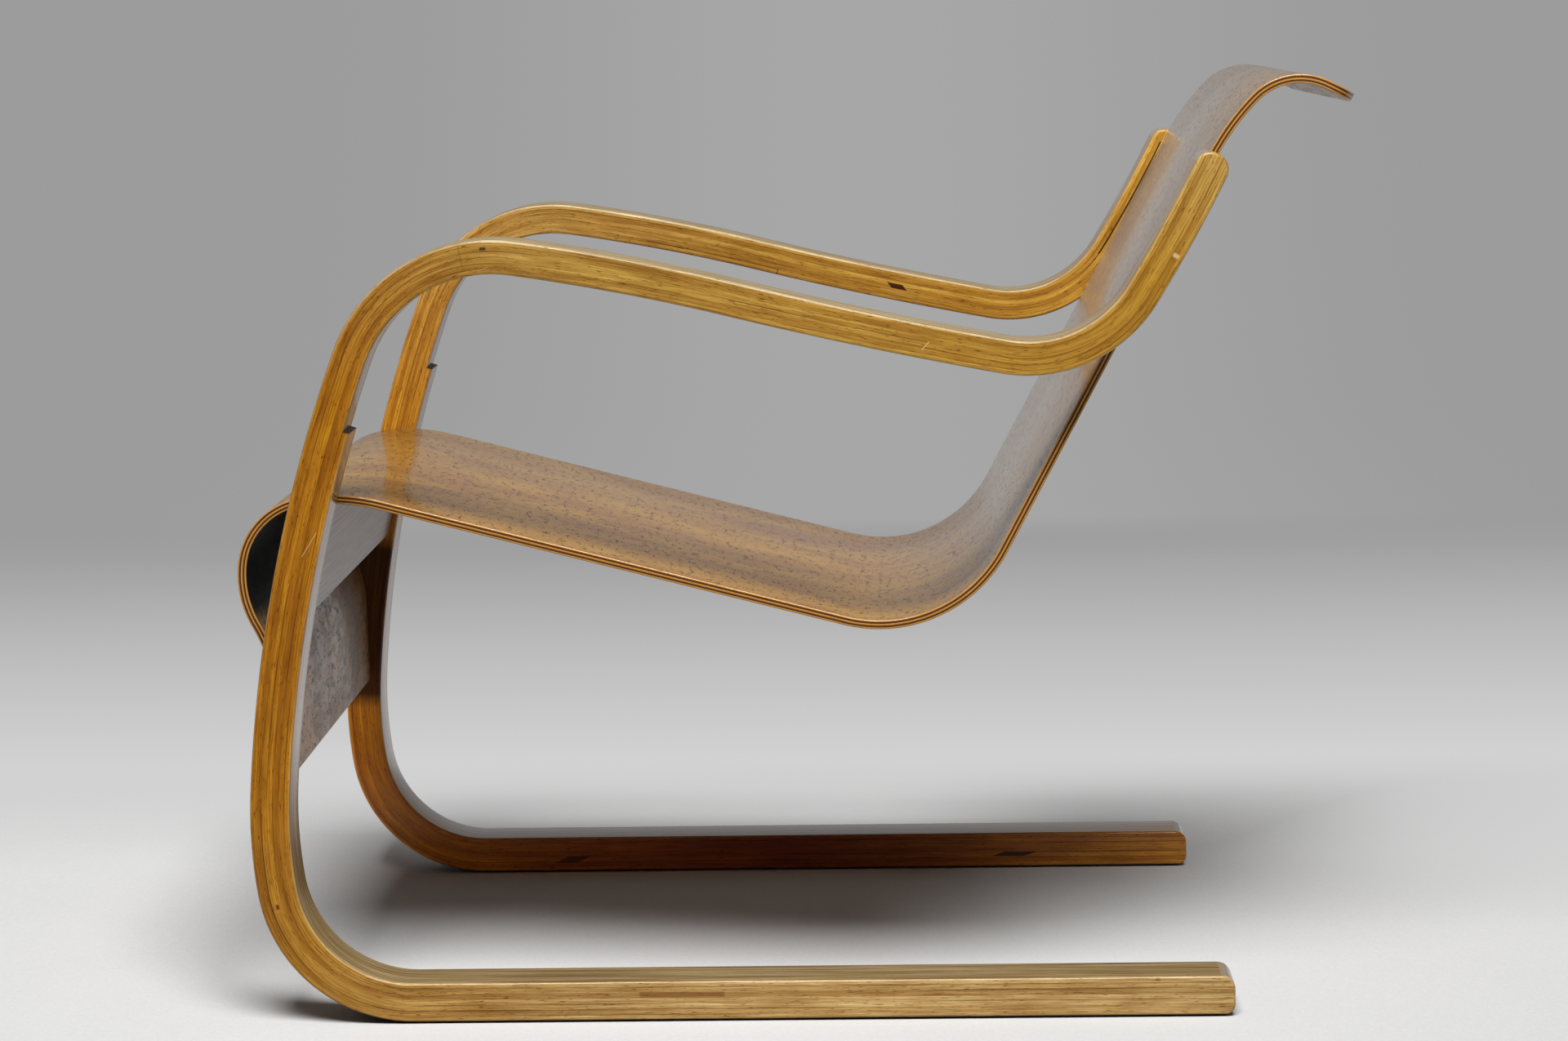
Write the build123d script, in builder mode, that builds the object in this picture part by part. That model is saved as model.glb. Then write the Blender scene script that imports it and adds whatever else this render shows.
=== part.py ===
"""Cantilever lounge chair: two laminated birch frames carrying one moulded plywood shell.

X is the chair's width (the left frame is on +X), the sitter faces -Y, Z is up and the
floor is Z = 0. All lengths are millimetres and all angles are degrees. The side view is
drawn in the YZ plane. Frames and shell are strips of constant thickness, and each follows
a course: a chain of tangent straights and arcs along the face that shows.
"""

import os
from dataclasses import dataclass
from math import cos, radians, sin, tan

from build123d import *

# ---- Overall sizes -----------------------------------------------------------------
chair_width = 605.0
frame_width = 50.0
runner_end_y = 336.35

# ---- Frame strip -------------------------------------------------------------------
lamina_thickness = 4.4
lamina_count = 6
frame_edge_radius = 2.5
toe_corner_radius = 11.0
heel_corner_radius = 8.0
post_crown_front_radius = 11.8
post_crown_rear_radius = 13.4

# The face that shows runs under the runner, up the front of the leg, over the arm and up
# the front of the post. Each bend has its radius on that face and the angle it turns.
runner_length = 636.6
foot_bend_radius = 120.6
foot_bend_angle = 81.67
shin_radius = 376.2
shin_angle = 12.41
leg_radius = 1208.5
leg_angle = 16.46
arm_bend_radius = 130.2
arm_bend_angle = 78.07
arm_front_radius = 1700.8
arm_front_angle = 5.74
arm_rear_radius = 3508.0
arm_rear_angle = 3.45
post_bend_radius = 88.1
post_bend_angle = 69.12
post_radius = 1140.8
post_angle = 5.93
notch_below_arm_bend = 56.0

# ---- Shell -------------------------------------------------------------------------
shell_side_gap = 1.0
veneer_thickness = 1.4
core_thickness = 4.2
head_corner_radius = 22.0
tail_corner_radius = 12.0

# Its sitting face runs from the lip behind the head roll, down the back, along the seat
# and round the front scroll to the lower edge of the tail.
head_lip_radius = 249.7
head_lip_angle = 5.85
head_crest_radius = 51.5
head_crest_angle = 69.94
neck_radius = 193.5
neck_angle = 16.32
back_slope = 61.7
seat_bend_radius = 105.9
seat_bend_angle = 76.47
knee_radius = 153.9
knee_angle = 23.57
scroll_front_radius = 59.2
scroll_front_angle = 73.07
scroll_under_radius = 81.8
scroll_under_angle = 37.2
tail_bend_radius = 124.7
tail_bend_angle = 28.18
tail_length = 66.0
neck_below_post_top = 3.3
shell_depth_in_post = 10.3

# ---- Front rail, cleat and back rail ------------------------------------------------
front_rail_height = 88.0
front_rail_thickness = 20.0
front_rail_corner_radius = 8.0
front_rail_inset = 4.5
front_rail_below_notch = 68.0
front_tenon_height = 62.0
front_tenon_thickness = 10.0
knee_over_rail_angle = 18.4

cleat_past_screws = 20.0
cleat_width = 20.0
cleat_height = 16.0

back_rail_height = 70.0
back_rail_corner_radius = 4.0
back_rail_below_post_top = 30.0
back_tenon_height = 50.0
back_tenon_thickness = 5.0
back_tenon_setback = 1.5
tenon_length = 26.0

# ---- Wood screws -------------------------------------------------------------------
screw_diameter = 3.5
screw_head_diameter = 7.0
screw_head_height = 2.2
screw_slot_width = 0.9
screw_slot_depth = 1.0
screw_bite = 4.5
screw_tip_length = 2.0
seat_screw_count = 5
seat_screw_spacing = 95.0
back_screw_count = 4
back_screw_spacing = 130.0

# ---- Worked out from the sizes above -----------------------------------------------
strip_thickness = lamina_count * lamina_thickness
leg_thickness = strip_thickness + lamina_thickness
shell_thickness = core_thickness + 2 * veneer_thickness
inner_width = chair_width - 2 * frame_width
shell_width = inner_width - 2 * shell_side_gap
back_rail_thickness = strip_thickness - shell_depth_in_post - shell_thickness
cleat_length = (seat_screw_count - 1) * seat_screw_spacing + 2 * cleat_past_screws


# ---- Courses -----------------------------------------------------------------------
@dataclass
class Run:
    """One stretch of a course: its length, and the angle it turns to the left."""

    length: float
    turn: float = 0.0


def arc(radius: float, turn: float) -> Run:
    """Round stretch with a radius on the drawn face, turning left when turn is positive."""
    return Run(radius * radians(abs(turn)), turn)


def advance(point: Vector, heading: float, run: Run) -> tuple[Vector, float]:
    """Point and heading at the end of a run."""
    half = radians(run.turn) / 2
    chord = run.length * (sin(half) / half if run.turn else 1.0)
    aim = radians(heading) + half
    return point + Vector(cos(aim), sin(aim)) * chord, heading + run.turn


def right_of(heading: float) -> Vector:
    """Unit vector to the right of a heading, which is where depth is measured to."""
    return Vector(sin(radians(heading)), -cos(radians(heading)))


@dataclass
class Course:
    """A chain of tangent runs in the side view, from a start point and heading."""

    start: Vector
    heading: float
    runs: list[Run]

    def length(self) -> float:
        """Length along the drawn face."""
        return sum(run.length for run in self.runs)

    def place(self, distance: float, depth: float = 0.0) -> tuple[Vector, float]:
        """Point at a distance along the course and a depth beside it, and the heading."""
        point, heading, left = self.start, self.heading, distance
        for run in self.runs:
            step = min(left, run.length)
            part = Run(step, run.turn * step / run.length)
            point, heading = advance(point, heading, part)
            left -= step
        return point + right_of(heading) * depth, heading

    def end(self) -> tuple[Vector, float]:
        """Point and heading at the end of the drawn face."""
        return self.place(self.length())

    def piece(self, first: float, last: float) -> "Course":
        """The stretch of this course between two distances."""
        start, heading = self.place(first)
        runs, passed = [], 0.0
        for run in self.runs:
            shown = min(last, passed + run.length) - max(first, passed)
            if shown > 0:
                runs.append(Run(shown, run.turn * shown / run.length))
            passed += run.length
        return Course(start, heading, runs)

    def lengthened(self, before: float, after: float) -> "Course":
        """This course with a straight run added at its start and at its end."""
        way_in = Vector(cos(radians(self.heading)), sin(radians(self.heading)))
        runs = [Run(before), *self.runs, Run(after)]
        return Course(self.start - way_in * before, self.heading, runs)

    def draw(self, depth: float) -> tuple[Vector, Vector]:
        """Draw the course in the open BuildLine at a depth, and give its two ends."""
        point = first = self.start + right_of(self.heading) * depth
        tangent = Vector(cos(radians(self.heading)), sin(radians(self.heading)))
        for run in self.runs:
            if run.length == 0:
                continue
            if run.turn:
                radius = run.length / radians(abs(run.turn))
                radius += depth if run.turn > 0 else -depth
                edge = JernArc(point, tangent, radius, run.turn)
            else:
                edge = Line(point, point + tangent * run.length)
            point, tangent = edge @ 1, edge % 1
        return first, point


def strip(course: Course, near: float, far: float) -> Sketch:
    """Flat outline between two depths of a course, square at both ends."""
    with BuildSketch() as outline:
        with BuildLine():
            near_ends = course.draw(near)
            far_ends = course.draw(far)
            Line(near_ends[0], far_ends[0])
            Line(near_ends[1], far_ends[1])
        make_face()
    return outline.sketch


def side_plane(x: float) -> Plane:
    """Plane of the side view at a distance across the chair."""
    return Plane.YZ.offset(x)


def board_plane(point: Vector, facing: float) -> Plane:
    """Plane across the chair through a side-view point, facing along a heading."""
    out = Vector(0, cos(radians(facing)), sin(radians(facing)))
    return Plane(origin=(0, point.X, point.Y), x_dir=(1, 0, 0), z_dir=out)


# ---- The frame's course --------------------------------------------------------------
runner_and_leg_runs = [
    Run(runner_length),
    arc(foot_bend_radius, -foot_bend_angle),
    arc(shin_radius, -shin_angle),
    arc(leg_radius, -leg_angle),
]
arm_and_post_runs = [
    arc(arm_bend_radius, -arm_bend_angle),
    arc(arm_front_radius, -arm_front_angle),
    arc(arm_rear_radius, arm_rear_angle),
    arc(post_bend_radius, post_bend_angle),
    arc(post_radius, post_angle),
]
frame_course = Course(Vector(runner_end_y, 0), 180.0, runner_and_leg_runs + arm_and_post_runs)
arm_bend_start = sum(run.length for run in runner_and_leg_runs)
notch_distance = arm_bend_start - notch_below_arm_bend
post_top, _ = frame_course.end()
post_rear, _ = frame_course.place(frame_course.length(), strip_thickness)

# ---- The shell's course --------------------------------------------------------------
# The back passes through the posts at their top, and the knee lies on the front rail. The
# seat line runs through the start of the knee, and the seat bend joins it to the back.
rail_top_distance = notch_distance - front_rail_below_notch
rail_rear_depth = leg_thickness - front_rail_inset
rail_centre_depth = rail_rear_depth - front_rail_thickness / 2
rail_top, rail_heading = frame_course.place(rail_top_distance, rail_centre_depth)
neck_start_distance = frame_course.length() - neck_below_post_top
neck_start, _ = frame_course.place(neck_start_distance, shell_depth_in_post)
back_heading = 180 + back_slope
seat_heading = back_heading - seat_bend_angle
contact_heading = seat_heading + knee_over_rail_angle
knee_contact = rail_top + right_of(contact_heading) * shell_thickness
knee_to_contact, _ = advance(Vector(0, 0), seat_heading, arc(knee_radius, knee_over_rail_angle))
knee_start = knee_contact - knee_to_contact

back_way = -right_of(back_heading - 90)
seat_way = right_of(seat_heading + 90)
across = knee_start - neck_start
turn_sine = sin(radians(seat_bend_angle))
neck_to_corner = abs(across.X * seat_way.Y - across.Y * seat_way.X) / turn_sine
corner_to_knee = abs(across.X * back_way.Y - across.Y * back_way.X) / turn_sine
bend_reach = seat_bend_radius * tan(radians(seat_bend_angle) / 2)

head_runs = [
    arc(head_lip_radius, head_lip_angle),
    arc(head_crest_radius, head_crest_angle),
    arc(neck_radius, neck_angle),
]
back_and_seat_runs = [
    Run(neck_to_corner - bend_reach),
    arc(seat_bend_radius, -seat_bend_angle),
    Run(corner_to_knee - bend_reach),
]
scroll_runs = [
    arc(knee_radius, knee_angle),
    arc(scroll_front_radius, scroll_front_angle),
    arc(scroll_under_radius, scroll_under_angle),
    arc(tail_bend_radius, -tail_bend_angle),
    Run(tail_length),
]
head_heading = back_heading - head_lip_angle - head_crest_angle - neck_angle
head_reach, _ = Course(Vector(0, 0), head_heading, head_runs).end()
shell_runs = head_runs + back_and_seat_runs + scroll_runs
shell_course = Course(neck_start - head_reach, head_heading, shell_runs)
neck_distance = sum(run.length for run in head_runs)
knee_distance = neck_distance + sum(run.length for run in back_and_seat_runs)


# ---- Wood screw ----------------------------------------------------------------------
def screw(length: float, slotted: bool) -> Part:
    """Countersunk wood screw standing head up, with the top of its head on Z = 0."""
    head, shank = screw_head_diameter / 2, screw_diameter / 2
    with BuildPart() as blank:
        with BuildSketch(Plane.XZ):
            with BuildLine():
                Polyline(
                    (0, 0),
                    (head, 0),
                    (shank, -screw_head_height),
                    (shank, screw_tip_length - length),
                    (0, -length),
                    close=True,
                )
            make_face()
        revolve(axis=Axis.Z)
        if slotted:
            with BuildSketch():
                Rectangle(screw_head_diameter, screw_slot_width)
            extrude(amount=-screw_slot_depth, mode=Mode.SUBTRACT)
    return blank.part


def screw_row(plane: Plane, count: int, spacing: float, length: float, slotted: bool) -> Part:
    """Row of screws across the chair, their heads on a plane that faces out of the wood."""
    with BuildPart() as row:
        with Locations(plane):
            with GridLocations(spacing, 0, count, 1):
                add(screw(length, slotted))
    return row.part


# ---- Where the rails, cleat and screws lie -------------------------------------------
rail_centre_distance = rail_top_distance - front_rail_height / 2
front_rail_rear, rail_slope = frame_course.place(rail_centre_distance, rail_rear_depth)
rail_up = right_of(rail_slope + 90)
front_rail_plane = board_plane(front_rail_rear, rail_slope - 90)
front_tenon_plane = front_rail_plane.offset(-front_rail_thickness / 2)

contact_distance = knee_distance + knee_radius * radians(knee_over_rail_angle)
cleat_distance = contact_distance + (front_rail_thickness + cleat_width) / 2
cleat_top, _ = shell_course.place(cleat_distance, -shell_thickness)
cleat_under_plane = board_plane(cleat_top - rail_up * cleat_height, rail_slope + 180)

back_rail_distance = neck_distance + back_rail_below_post_top + back_rail_height / 2
back_rail_depth = shell_thickness + back_rail_thickness
back_tenon_depth = shell_thickness + back_tenon_setback + back_tenon_thickness / 2
back_rail_rear, _ = shell_course.place(back_rail_distance, -back_rail_depth)
back_tenon_centre, _ = shell_course.place(back_rail_distance, -back_tenon_depth)
back_rail_plane = board_plane(back_rail_rear, back_heading + 90)
back_tenon_plane = board_plane(back_tenon_centre, back_heading + 90)


# ---- Rails ---------------------------------------------------------------------------
def over_shell_back() -> Part:
    """The space on the sitting side of the shell's back face, to trim what meets it."""
    trim_depth = 30.0
    with BuildPart() as space:
        with BuildSketch(side_plane(-inner_width / 2)):
            add(strip(shell_course, -shell_thickness, trim_depth))
        extrude(amount=inner_width)
    return space.part


def tenons(plane: Plane, height: float, thickness: float) -> Part:
    """Two stub tenons, one at each end of a rail, centred on the plane."""
    with BuildPart() as pair:
        with BuildSketch(plane):
            with GridLocations(inner_width + tenon_length, 0, 2, 1):
                Rectangle(tenon_length, height)
        extrude(amount=thickness / 2, both=True)
    return pair.part


def round_end_corners(board: BuildPart, radius: float) -> None:
    """Round the four corners of a board that stands between the frames."""
    for end in board.faces().filter_by(Axis.X):
        fillet(end.edges().sort_by(SortBy.LENGTH)[:2], radius)


shell_space = over_shell_back()
front_tenons = tenons(front_tenon_plane, front_tenon_height, front_tenon_thickness)
back_tenons = tenons(back_tenon_plane, back_tenon_height, back_tenon_thickness)

seat_screw_length = cleat_height + screw_bite
back_screw_length = back_rail_thickness + screw_bite
seat_screw_row = (cleat_under_plane, seat_screw_count, seat_screw_spacing, seat_screw_length)
back_screw_row = (back_rail_plane, back_screw_count, back_screw_spacing, back_screw_length)
seat_screw_holes = screw_row(*seat_screw_row, slotted=False)
back_screw_holes = screw_row(*back_screw_row, slotted=False)

with BuildPart() as front_rail:
    with BuildSketch(front_rail_plane):
        with Locations((0, -front_rail_thickness / 2)):
            Rectangle(inner_width, front_rail_height + front_rail_thickness)
    extrude(amount=-front_rail_thickness)
    add(shell_space, mode=Mode.SUBTRACT)
    round_end_corners(front_rail, front_rail_corner_radius)
    add(front_tenons)
front_rail.part.label = "front_rail"

cleat_blank_height = cleat_height + cleat_width
with BuildPart() as seat_cleat:
    with BuildSketch(cleat_under_plane):
        Rectangle(cleat_length, cleat_width + front_rail_thickness / 2)
    extrude(amount=-cleat_blank_height)
    add(shell_space, mode=Mode.SUBTRACT)
    add(front_rail.part, mode=Mode.SUBTRACT)
    add(seat_screw_holes, mode=Mode.SUBTRACT)
seat_cleat.part.label = "seat_cleat"

with BuildPart() as back_rail:
    with BuildSketch(back_rail_plane):
        Rectangle(inner_width, back_rail_height)
    extrude(amount=-back_rail_thickness)
    round_end_corners(back_rail, back_rail_corner_radius)
    add(back_tenons)
    add(back_screw_holes, mode=Mode.SUBTRACT)
back_rail.part.label = "back_rail"

with BuildPart() as seat_screws:
    add(screw_row(*seat_screw_row, slotted=True))
seat_screws.part.label = "seat_screws"

with BuildPart() as back_screws:
    add(screw_row(*back_screw_row, slotted=True))
back_screws.part.label = "back_screws"


# ---- Frames --------------------------------------------------------------------------
def frame_blank(inner_x: float) -> Part:
    """One whole laminated frame, shaped and mortised, before it is parted into laminae."""
    plane = side_plane(inner_x)
    lower_course = frame_course.piece(0, notch_distance)
    upper_course = frame_course.piece(notch_distance, frame_course.length())
    notch, _ = frame_course.place(notch_distance, strip_thickness / 2)
    notch_point = (inner_x + frame_width / 2, notch.X, notch.Y)

    with BuildPart() as lower:
        with BuildSketch(plane) as outline:
            add(strip(lower_course, 0, leg_thickness))
            end_corners = outline.vertices().group_by(Axis.X)[-1].sort_by(Axis.Y)
            fillet(end_corners[0], heel_corner_radius)
            end_corners = outline.vertices().group_by(Axis.X)[-1].sort_by(Axis.Y)
            fillet(end_corners[-1], toe_corner_radius)
        extrude(amount=frame_width)
        joint = lower.faces().sort_by_distance(notch_point)[0]
        fillet(lower.faces().filter_by(Axis.X).edges() - joint.edges(), frame_edge_radius)

    with BuildPart() as upper:
        with BuildSketch(plane) as outline:
            add(strip(upper_course, 0, strip_thickness))
            front_corner = outline.vertices().sort_by_distance((post_top.X, post_top.Y))[0]
            fillet(front_corner, post_crown_front_radius)
            rear_corner = outline.vertices().sort_by_distance((post_rear.X, post_rear.Y))[0]
            fillet(rear_corner, post_crown_rear_radius)
        extrude(amount=frame_width)
        joint = upper.faces().sort_by_distance(notch_point)[0]
        fillet(upper.faces().filter_by(Axis.X).edges() - joint.edges(), frame_edge_radius)

    with BuildPart() as blank:
        add(lower.part)
        add(upper.part)
        add(front_rail.part, mode=Mode.SUBTRACT)
        add(back_rail.part, mode=Mode.SUBTRACT)
    return blank.part


def lamina(blank: Part, inner_x: float, course: Course, depth: float) -> Part:
    """One lamina of a frame: the layer of the blank that lies behind a depth."""
    with BuildPart() as layer:
        with BuildSketch(side_plane(inner_x)):
            add(strip(course, depth, depth + lamina_thickness))
        extrude(amount=frame_width)
        add(blank, mode=Mode.INTERSECT)
    return layer.part


past_ends = 2 * frame_edge_radius
whole_course = frame_course.lengthened(past_ends, past_ends)
leg_course = frame_course.piece(0, notch_distance).lengthened(past_ends, 0)

laminae = []
for side, inner_x in (("left", inner_width / 2), ("right", -inner_width / 2 - frame_width)):
    blank = frame_blank(inner_x)
    for number in range(lamina_count):
        with BuildPart() as frame_lamina:
            add(lamina(blank, inner_x, whole_course, number * lamina_thickness))
        frame_lamina.part.label = f"{side}_frame_lamina_{number + 1}"
        laminae.append(frame_lamina.part)
    with BuildPart() as leg_lamina:
        add(lamina(blank, inner_x, leg_course, strip_thickness))
    leg_lamina.part.label = f"{side}_leg_lamina"
    laminae.append(leg_lamina.part)


# ---- Shell ---------------------------------------------------------------------------
def shell_layer(near: float, far: float) -> Part:
    """One layer of the shell between two depths behind its sitting face."""
    corners = ((0, head_corner_radius), (shell_course.length(), tail_corner_radius))
    with BuildPart() as layer:
        with BuildSketch(side_plane(-shell_width / 2)):
            add(strip(shell_course, -near, -far))
        extrude(amount=shell_width)
        for distance, radius in corners:
            middle, _ = shell_course.place(distance, -(near + far) / 2)
            end = layer.faces().sort_by_distance((0, middle.X, middle.Y))[0]
            fillet(end.edges().sort_by(SortBy.LENGTH)[:2], radius)
        add(seat_screw_holes, mode=Mode.SUBTRACT)
        add(back_screw_holes, mode=Mode.SUBTRACT)
    return layer.part


with BuildPart() as seat_veneer:
    add(shell_layer(0, veneer_thickness))
seat_veneer.part.label = "seat_veneer"

with BuildPart() as shell_core:
    add(shell_layer(veneer_thickness, veneer_thickness + core_thickness))
shell_core.part.label = "shell_core"

with BuildPart() as back_veneer:
    add(shell_layer(veneer_thickness + core_thickness, shell_thickness))
back_veneer.part.label = "back_veneer"

# ---- One file for each piece ---------------------------------------------------------
os.makedirs("parts", exist_ok=True)
pieces = laminae + [
    seat_veneer.part,
    shell_core.part,
    back_veneer.part,
    front_rail.part,
    back_rail.part,
    seat_cleat.part,
    seat_screws.part,
    back_screws.part,
]
for piece in pieces:
    export_step(piece, f"parts/{piece.label}.step")
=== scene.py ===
"""Dressed scene of the cantilever lounge chair.

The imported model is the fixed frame. Over it go the bent laminae of the two frames and
the three layers of the moulded shell, each swept along the same course as its solid.
The rails, the cleat and the screws keep their own solids and get their finishes here.
Sizes of the chair are millimetres and degrees, the studio's are metres and degrees, and
every mesh is made in metres.
"""

import logging
from dataclasses import dataclass
from enum import Enum
from functools import partial
from math import cos, hypot, radians, sin, sqrt
from typing import Callable, Optional, Union

import bpy
from mathutils import Matrix, Vector


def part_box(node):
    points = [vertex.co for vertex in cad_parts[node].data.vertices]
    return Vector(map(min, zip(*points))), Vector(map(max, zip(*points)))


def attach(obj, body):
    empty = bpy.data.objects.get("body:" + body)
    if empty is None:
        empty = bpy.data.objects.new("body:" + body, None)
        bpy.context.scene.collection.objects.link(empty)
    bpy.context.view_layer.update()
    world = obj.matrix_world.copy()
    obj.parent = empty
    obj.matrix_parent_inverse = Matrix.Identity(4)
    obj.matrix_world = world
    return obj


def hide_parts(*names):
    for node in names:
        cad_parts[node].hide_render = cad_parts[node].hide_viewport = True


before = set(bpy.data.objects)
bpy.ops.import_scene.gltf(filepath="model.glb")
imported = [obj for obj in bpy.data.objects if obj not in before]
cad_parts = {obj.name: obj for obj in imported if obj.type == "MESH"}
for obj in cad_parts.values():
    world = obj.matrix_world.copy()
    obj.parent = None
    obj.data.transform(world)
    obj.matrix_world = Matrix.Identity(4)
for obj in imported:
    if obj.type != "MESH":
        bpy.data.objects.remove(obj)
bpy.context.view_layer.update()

log = logging.getLogger("lounge_chair")

MM = 0.001
BODY = "root"
STRIP_PLACE = "strip_place"
# Metres added to the distances on the right frame, by which a finish tells the frames apart.
RIGHT_FRAME_SHIFT = 5.0
# Length at each end of a strip in which its cross-sections follow the rounded end.
END_ZONE = 32.0

# Values between which nearly all of a noise texture lies.
NOISE_RANGE = (0.3, 0.7)

Socket = bpy.types.NodeSocket
Adder = Callable[..., Socket]
Stops = tuple[tuple[float, str], ...]
Pair = tuple[float, float]
Triple = tuple[float, float, float]


# ---- Small helpers -------------------------------------------------------------------
def linear(colour: str) -> tuple[float, float, float, float]:
    """Turn an sRGB hex colour to the linear values that Blender works in.

    Args:
        colour: Six hex digits, such as "C9984A".

    Returns:
        Linear red, green and blue, and an alpha of 1.
    """
    channels = []
    for start in (0, 2, 4):
        value = int(colour[start:start + 2], 16) / 255
        channels.append(value / 12.92 if value <= 0.04045 else ((value + 0.055) / 1.055) ** 2.4)
    return (channels[0], channels[1], channels[2], 1.0)


def add_node(
    tree: bpy.types.NodeTree,
    kind: str,
    *values: object,
    named: Optional[dict] = None,
    stops: Stops = (),
    **settings: object,
) -> Optional[Socket]:
    """Add one node with its settings, its input values and its links.

    Args:
        tree: Node tree that gets the node.
        kind: Blender's type name of the node, without its leading ShaderNode.
        values: Values or output sockets, in the order of the node's inputs.
        named: Values or output sockets for inputs called by name.
        stops: Position and hex colour of each stop, for a colour ramp.
        settings: Attributes of the node.

    Returns:
        The new node's first output in use, or None where it has no output.
    """
    made = tree.nodes.new("ShaderNode" + kind)
    for name, value in settings.items():
        setattr(made, name, value)
    for socket, value in (dict(enumerate(values)) | (named or {})).items():
        if isinstance(value, Socket):
            tree.links.new(value, made.inputs[socket])
        else:
            made.inputs[socket].default_value = value
    if stops:
        ramp = made.color_ramp
        while len(ramp.elements) < len(stops):
            ramp.elements.new(1.0)
        for element, (position, colour) in zip(ramp.elements, stops):
            element.position = position
            element.color = linear(colour)
    return next((output for output in made.outputs if output.enabled), None)


def empty_tree(owner: Union[bpy.types.Material, bpy.types.World]) -> Adder:
    """Give a material or world an empty node tree, and return what adds nodes to it."""
    owner.use_nodes = True
    owner.node_tree.nodes.clear()
    return partial(add_node, owner.node_tree)


def link_to_scene(thing: bpy.types.Object) -> bpy.types.Object:
    """Put a new object in the scene."""
    bpy.context.scene.collection.objects.link(thing)
    return thing


def per_metre(size_mm: float) -> float:
    """Texture scale that gives a pattern one feature for each size in millimetres."""
    return 1 / (size_mm * MM)


def grain_noise(
    add: Adder,
    place: Socket,
    sizes: Triple,
    detail: float,
    roughness: float = 0.5,
    distortion: float = 0.0,
) -> Socket:
    """Noise drawn out along a piece, as wood grain is.

    Args:
        add: Adds a node.
        place: Place on the piece, in metres.
        sizes: Size of a feature along each axis of the place.
        detail: Octaves of the noise.
        roughness: How strong each octave is against the one before.
        distortion: How far the features curl.

    Returns:
        The noise value, about 0.2 to 0.8.
    """
    scale = tuple(per_metre(size) for size in sizes)
    mapped = add("Mapping", named={"Vector": place, "Scale": scale})
    return add("TexNoise", named={
        "Vector": mapped, "Scale": 1.0, "Detail": detail, "Roughness": roughness,
        "Distortion": distortion})


def drawn_in(room: float, radius: float) -> float:
    """How far a rounded edge of a radius falls back at a distance from its face."""
    if room >= radius:
        return 0.0
    return radius - sqrt(max(0.0, radius ** 2 - (radius - max(0.0, room)) ** 2))


def corner_room(along: float, beside: float, radius: float) -> float:
    """Distance to the outline near an end with a rounded corner.

    Args:
        along: Distance from the end.
        beside: Distance from the face next to the corner.
        radius: Radius of the corner.

    Returns:
        Distance to the end, or to the corner's arc.
    """
    if along < radius and beside < radius:
        return radius - hypot(radius - along, radius - beside)
    return along


def easing_steps(radius: float, step: int) -> list[float]:
    """Distances from a face at which a rounded edge gets points, one for each step of turn."""
    return [radius * (1 - cos(radians(angle))) for angle in range(0, 91, step)]


# ---- Courses -------------------------------------------------------------------------
@dataclass(frozen=True)
class Run:
    """One stretch of a course: its length, and the angle that it turns to the left."""

    length: float
    turn: float = 0.0


def arc(radius: float, turn: float) -> Run:
    """Round stretch with a radius on the drawn face."""
    return Run(radius * radians(abs(turn)), turn)


@dataclass(frozen=True)
class Course:
    """A chain of tangent runs in the side view, along the face that shows."""

    start: Pair
    heading: float
    runs: tuple[Run, ...]

    def length(self) -> float:
        """Length along the drawn face."""
        return sum(run.length for run in self.runs)

    def joints(self) -> list[float]:
        """Distances at which one run ends and the next begins."""
        passed, found = 0.0, []
        for run in self.runs:
            passed += run.length
            found.append(passed)
        return found

    def place(self, distance: float, depth: float) -> Pair:
        """Point in the side view.

        Args:
            distance: Distance along the drawn face.
            depth: Distance to the right of the travel, into the strip.

        Returns:
            The point's Y and Z.
        """
        y, z = self.start
        heading, left = radians(self.heading), distance
        for number, run in enumerate(self.runs):
            last = number == len(self.runs) - 1
            step = left if last else min(left, run.length)
            half = radians(run.turn) * step / run.length / 2
            chord = step * (sin(half) / half if half else 1.0)
            y += chord * cos(heading + half)
            z += chord * sin(heading + half)
            heading += 2 * half
            left -= step
            if left <= 0:
                break
        return y + depth * sin(heading), z - depth * cos(heading)

    def stations(self, spacing: float, finest: float) -> list[float]:
        """Distances at which a sweep gets a cross-section.

        Args:
            spacing: Widest spacing, kept on the straights.
            finest: Angle in degrees between the cross-sections of a bend.

        Returns:
            Distances from 0 to the length of the course.
        """
        found, passed = [0.0], 0.0
        for run in self.runs:
            steps = max(1, round(run.length / spacing), round(abs(run.turn) / finest))
            found += [passed + run.length * k / steps for k in range(1, steps + 1)]
            passed += run.length
        return found


# ---- Swept layers --------------------------------------------------------------------
class Zone(Enum):
    """Part of a layer's surface, with the number of its material slot."""

    FACE = 0
    EDGE = 1


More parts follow.
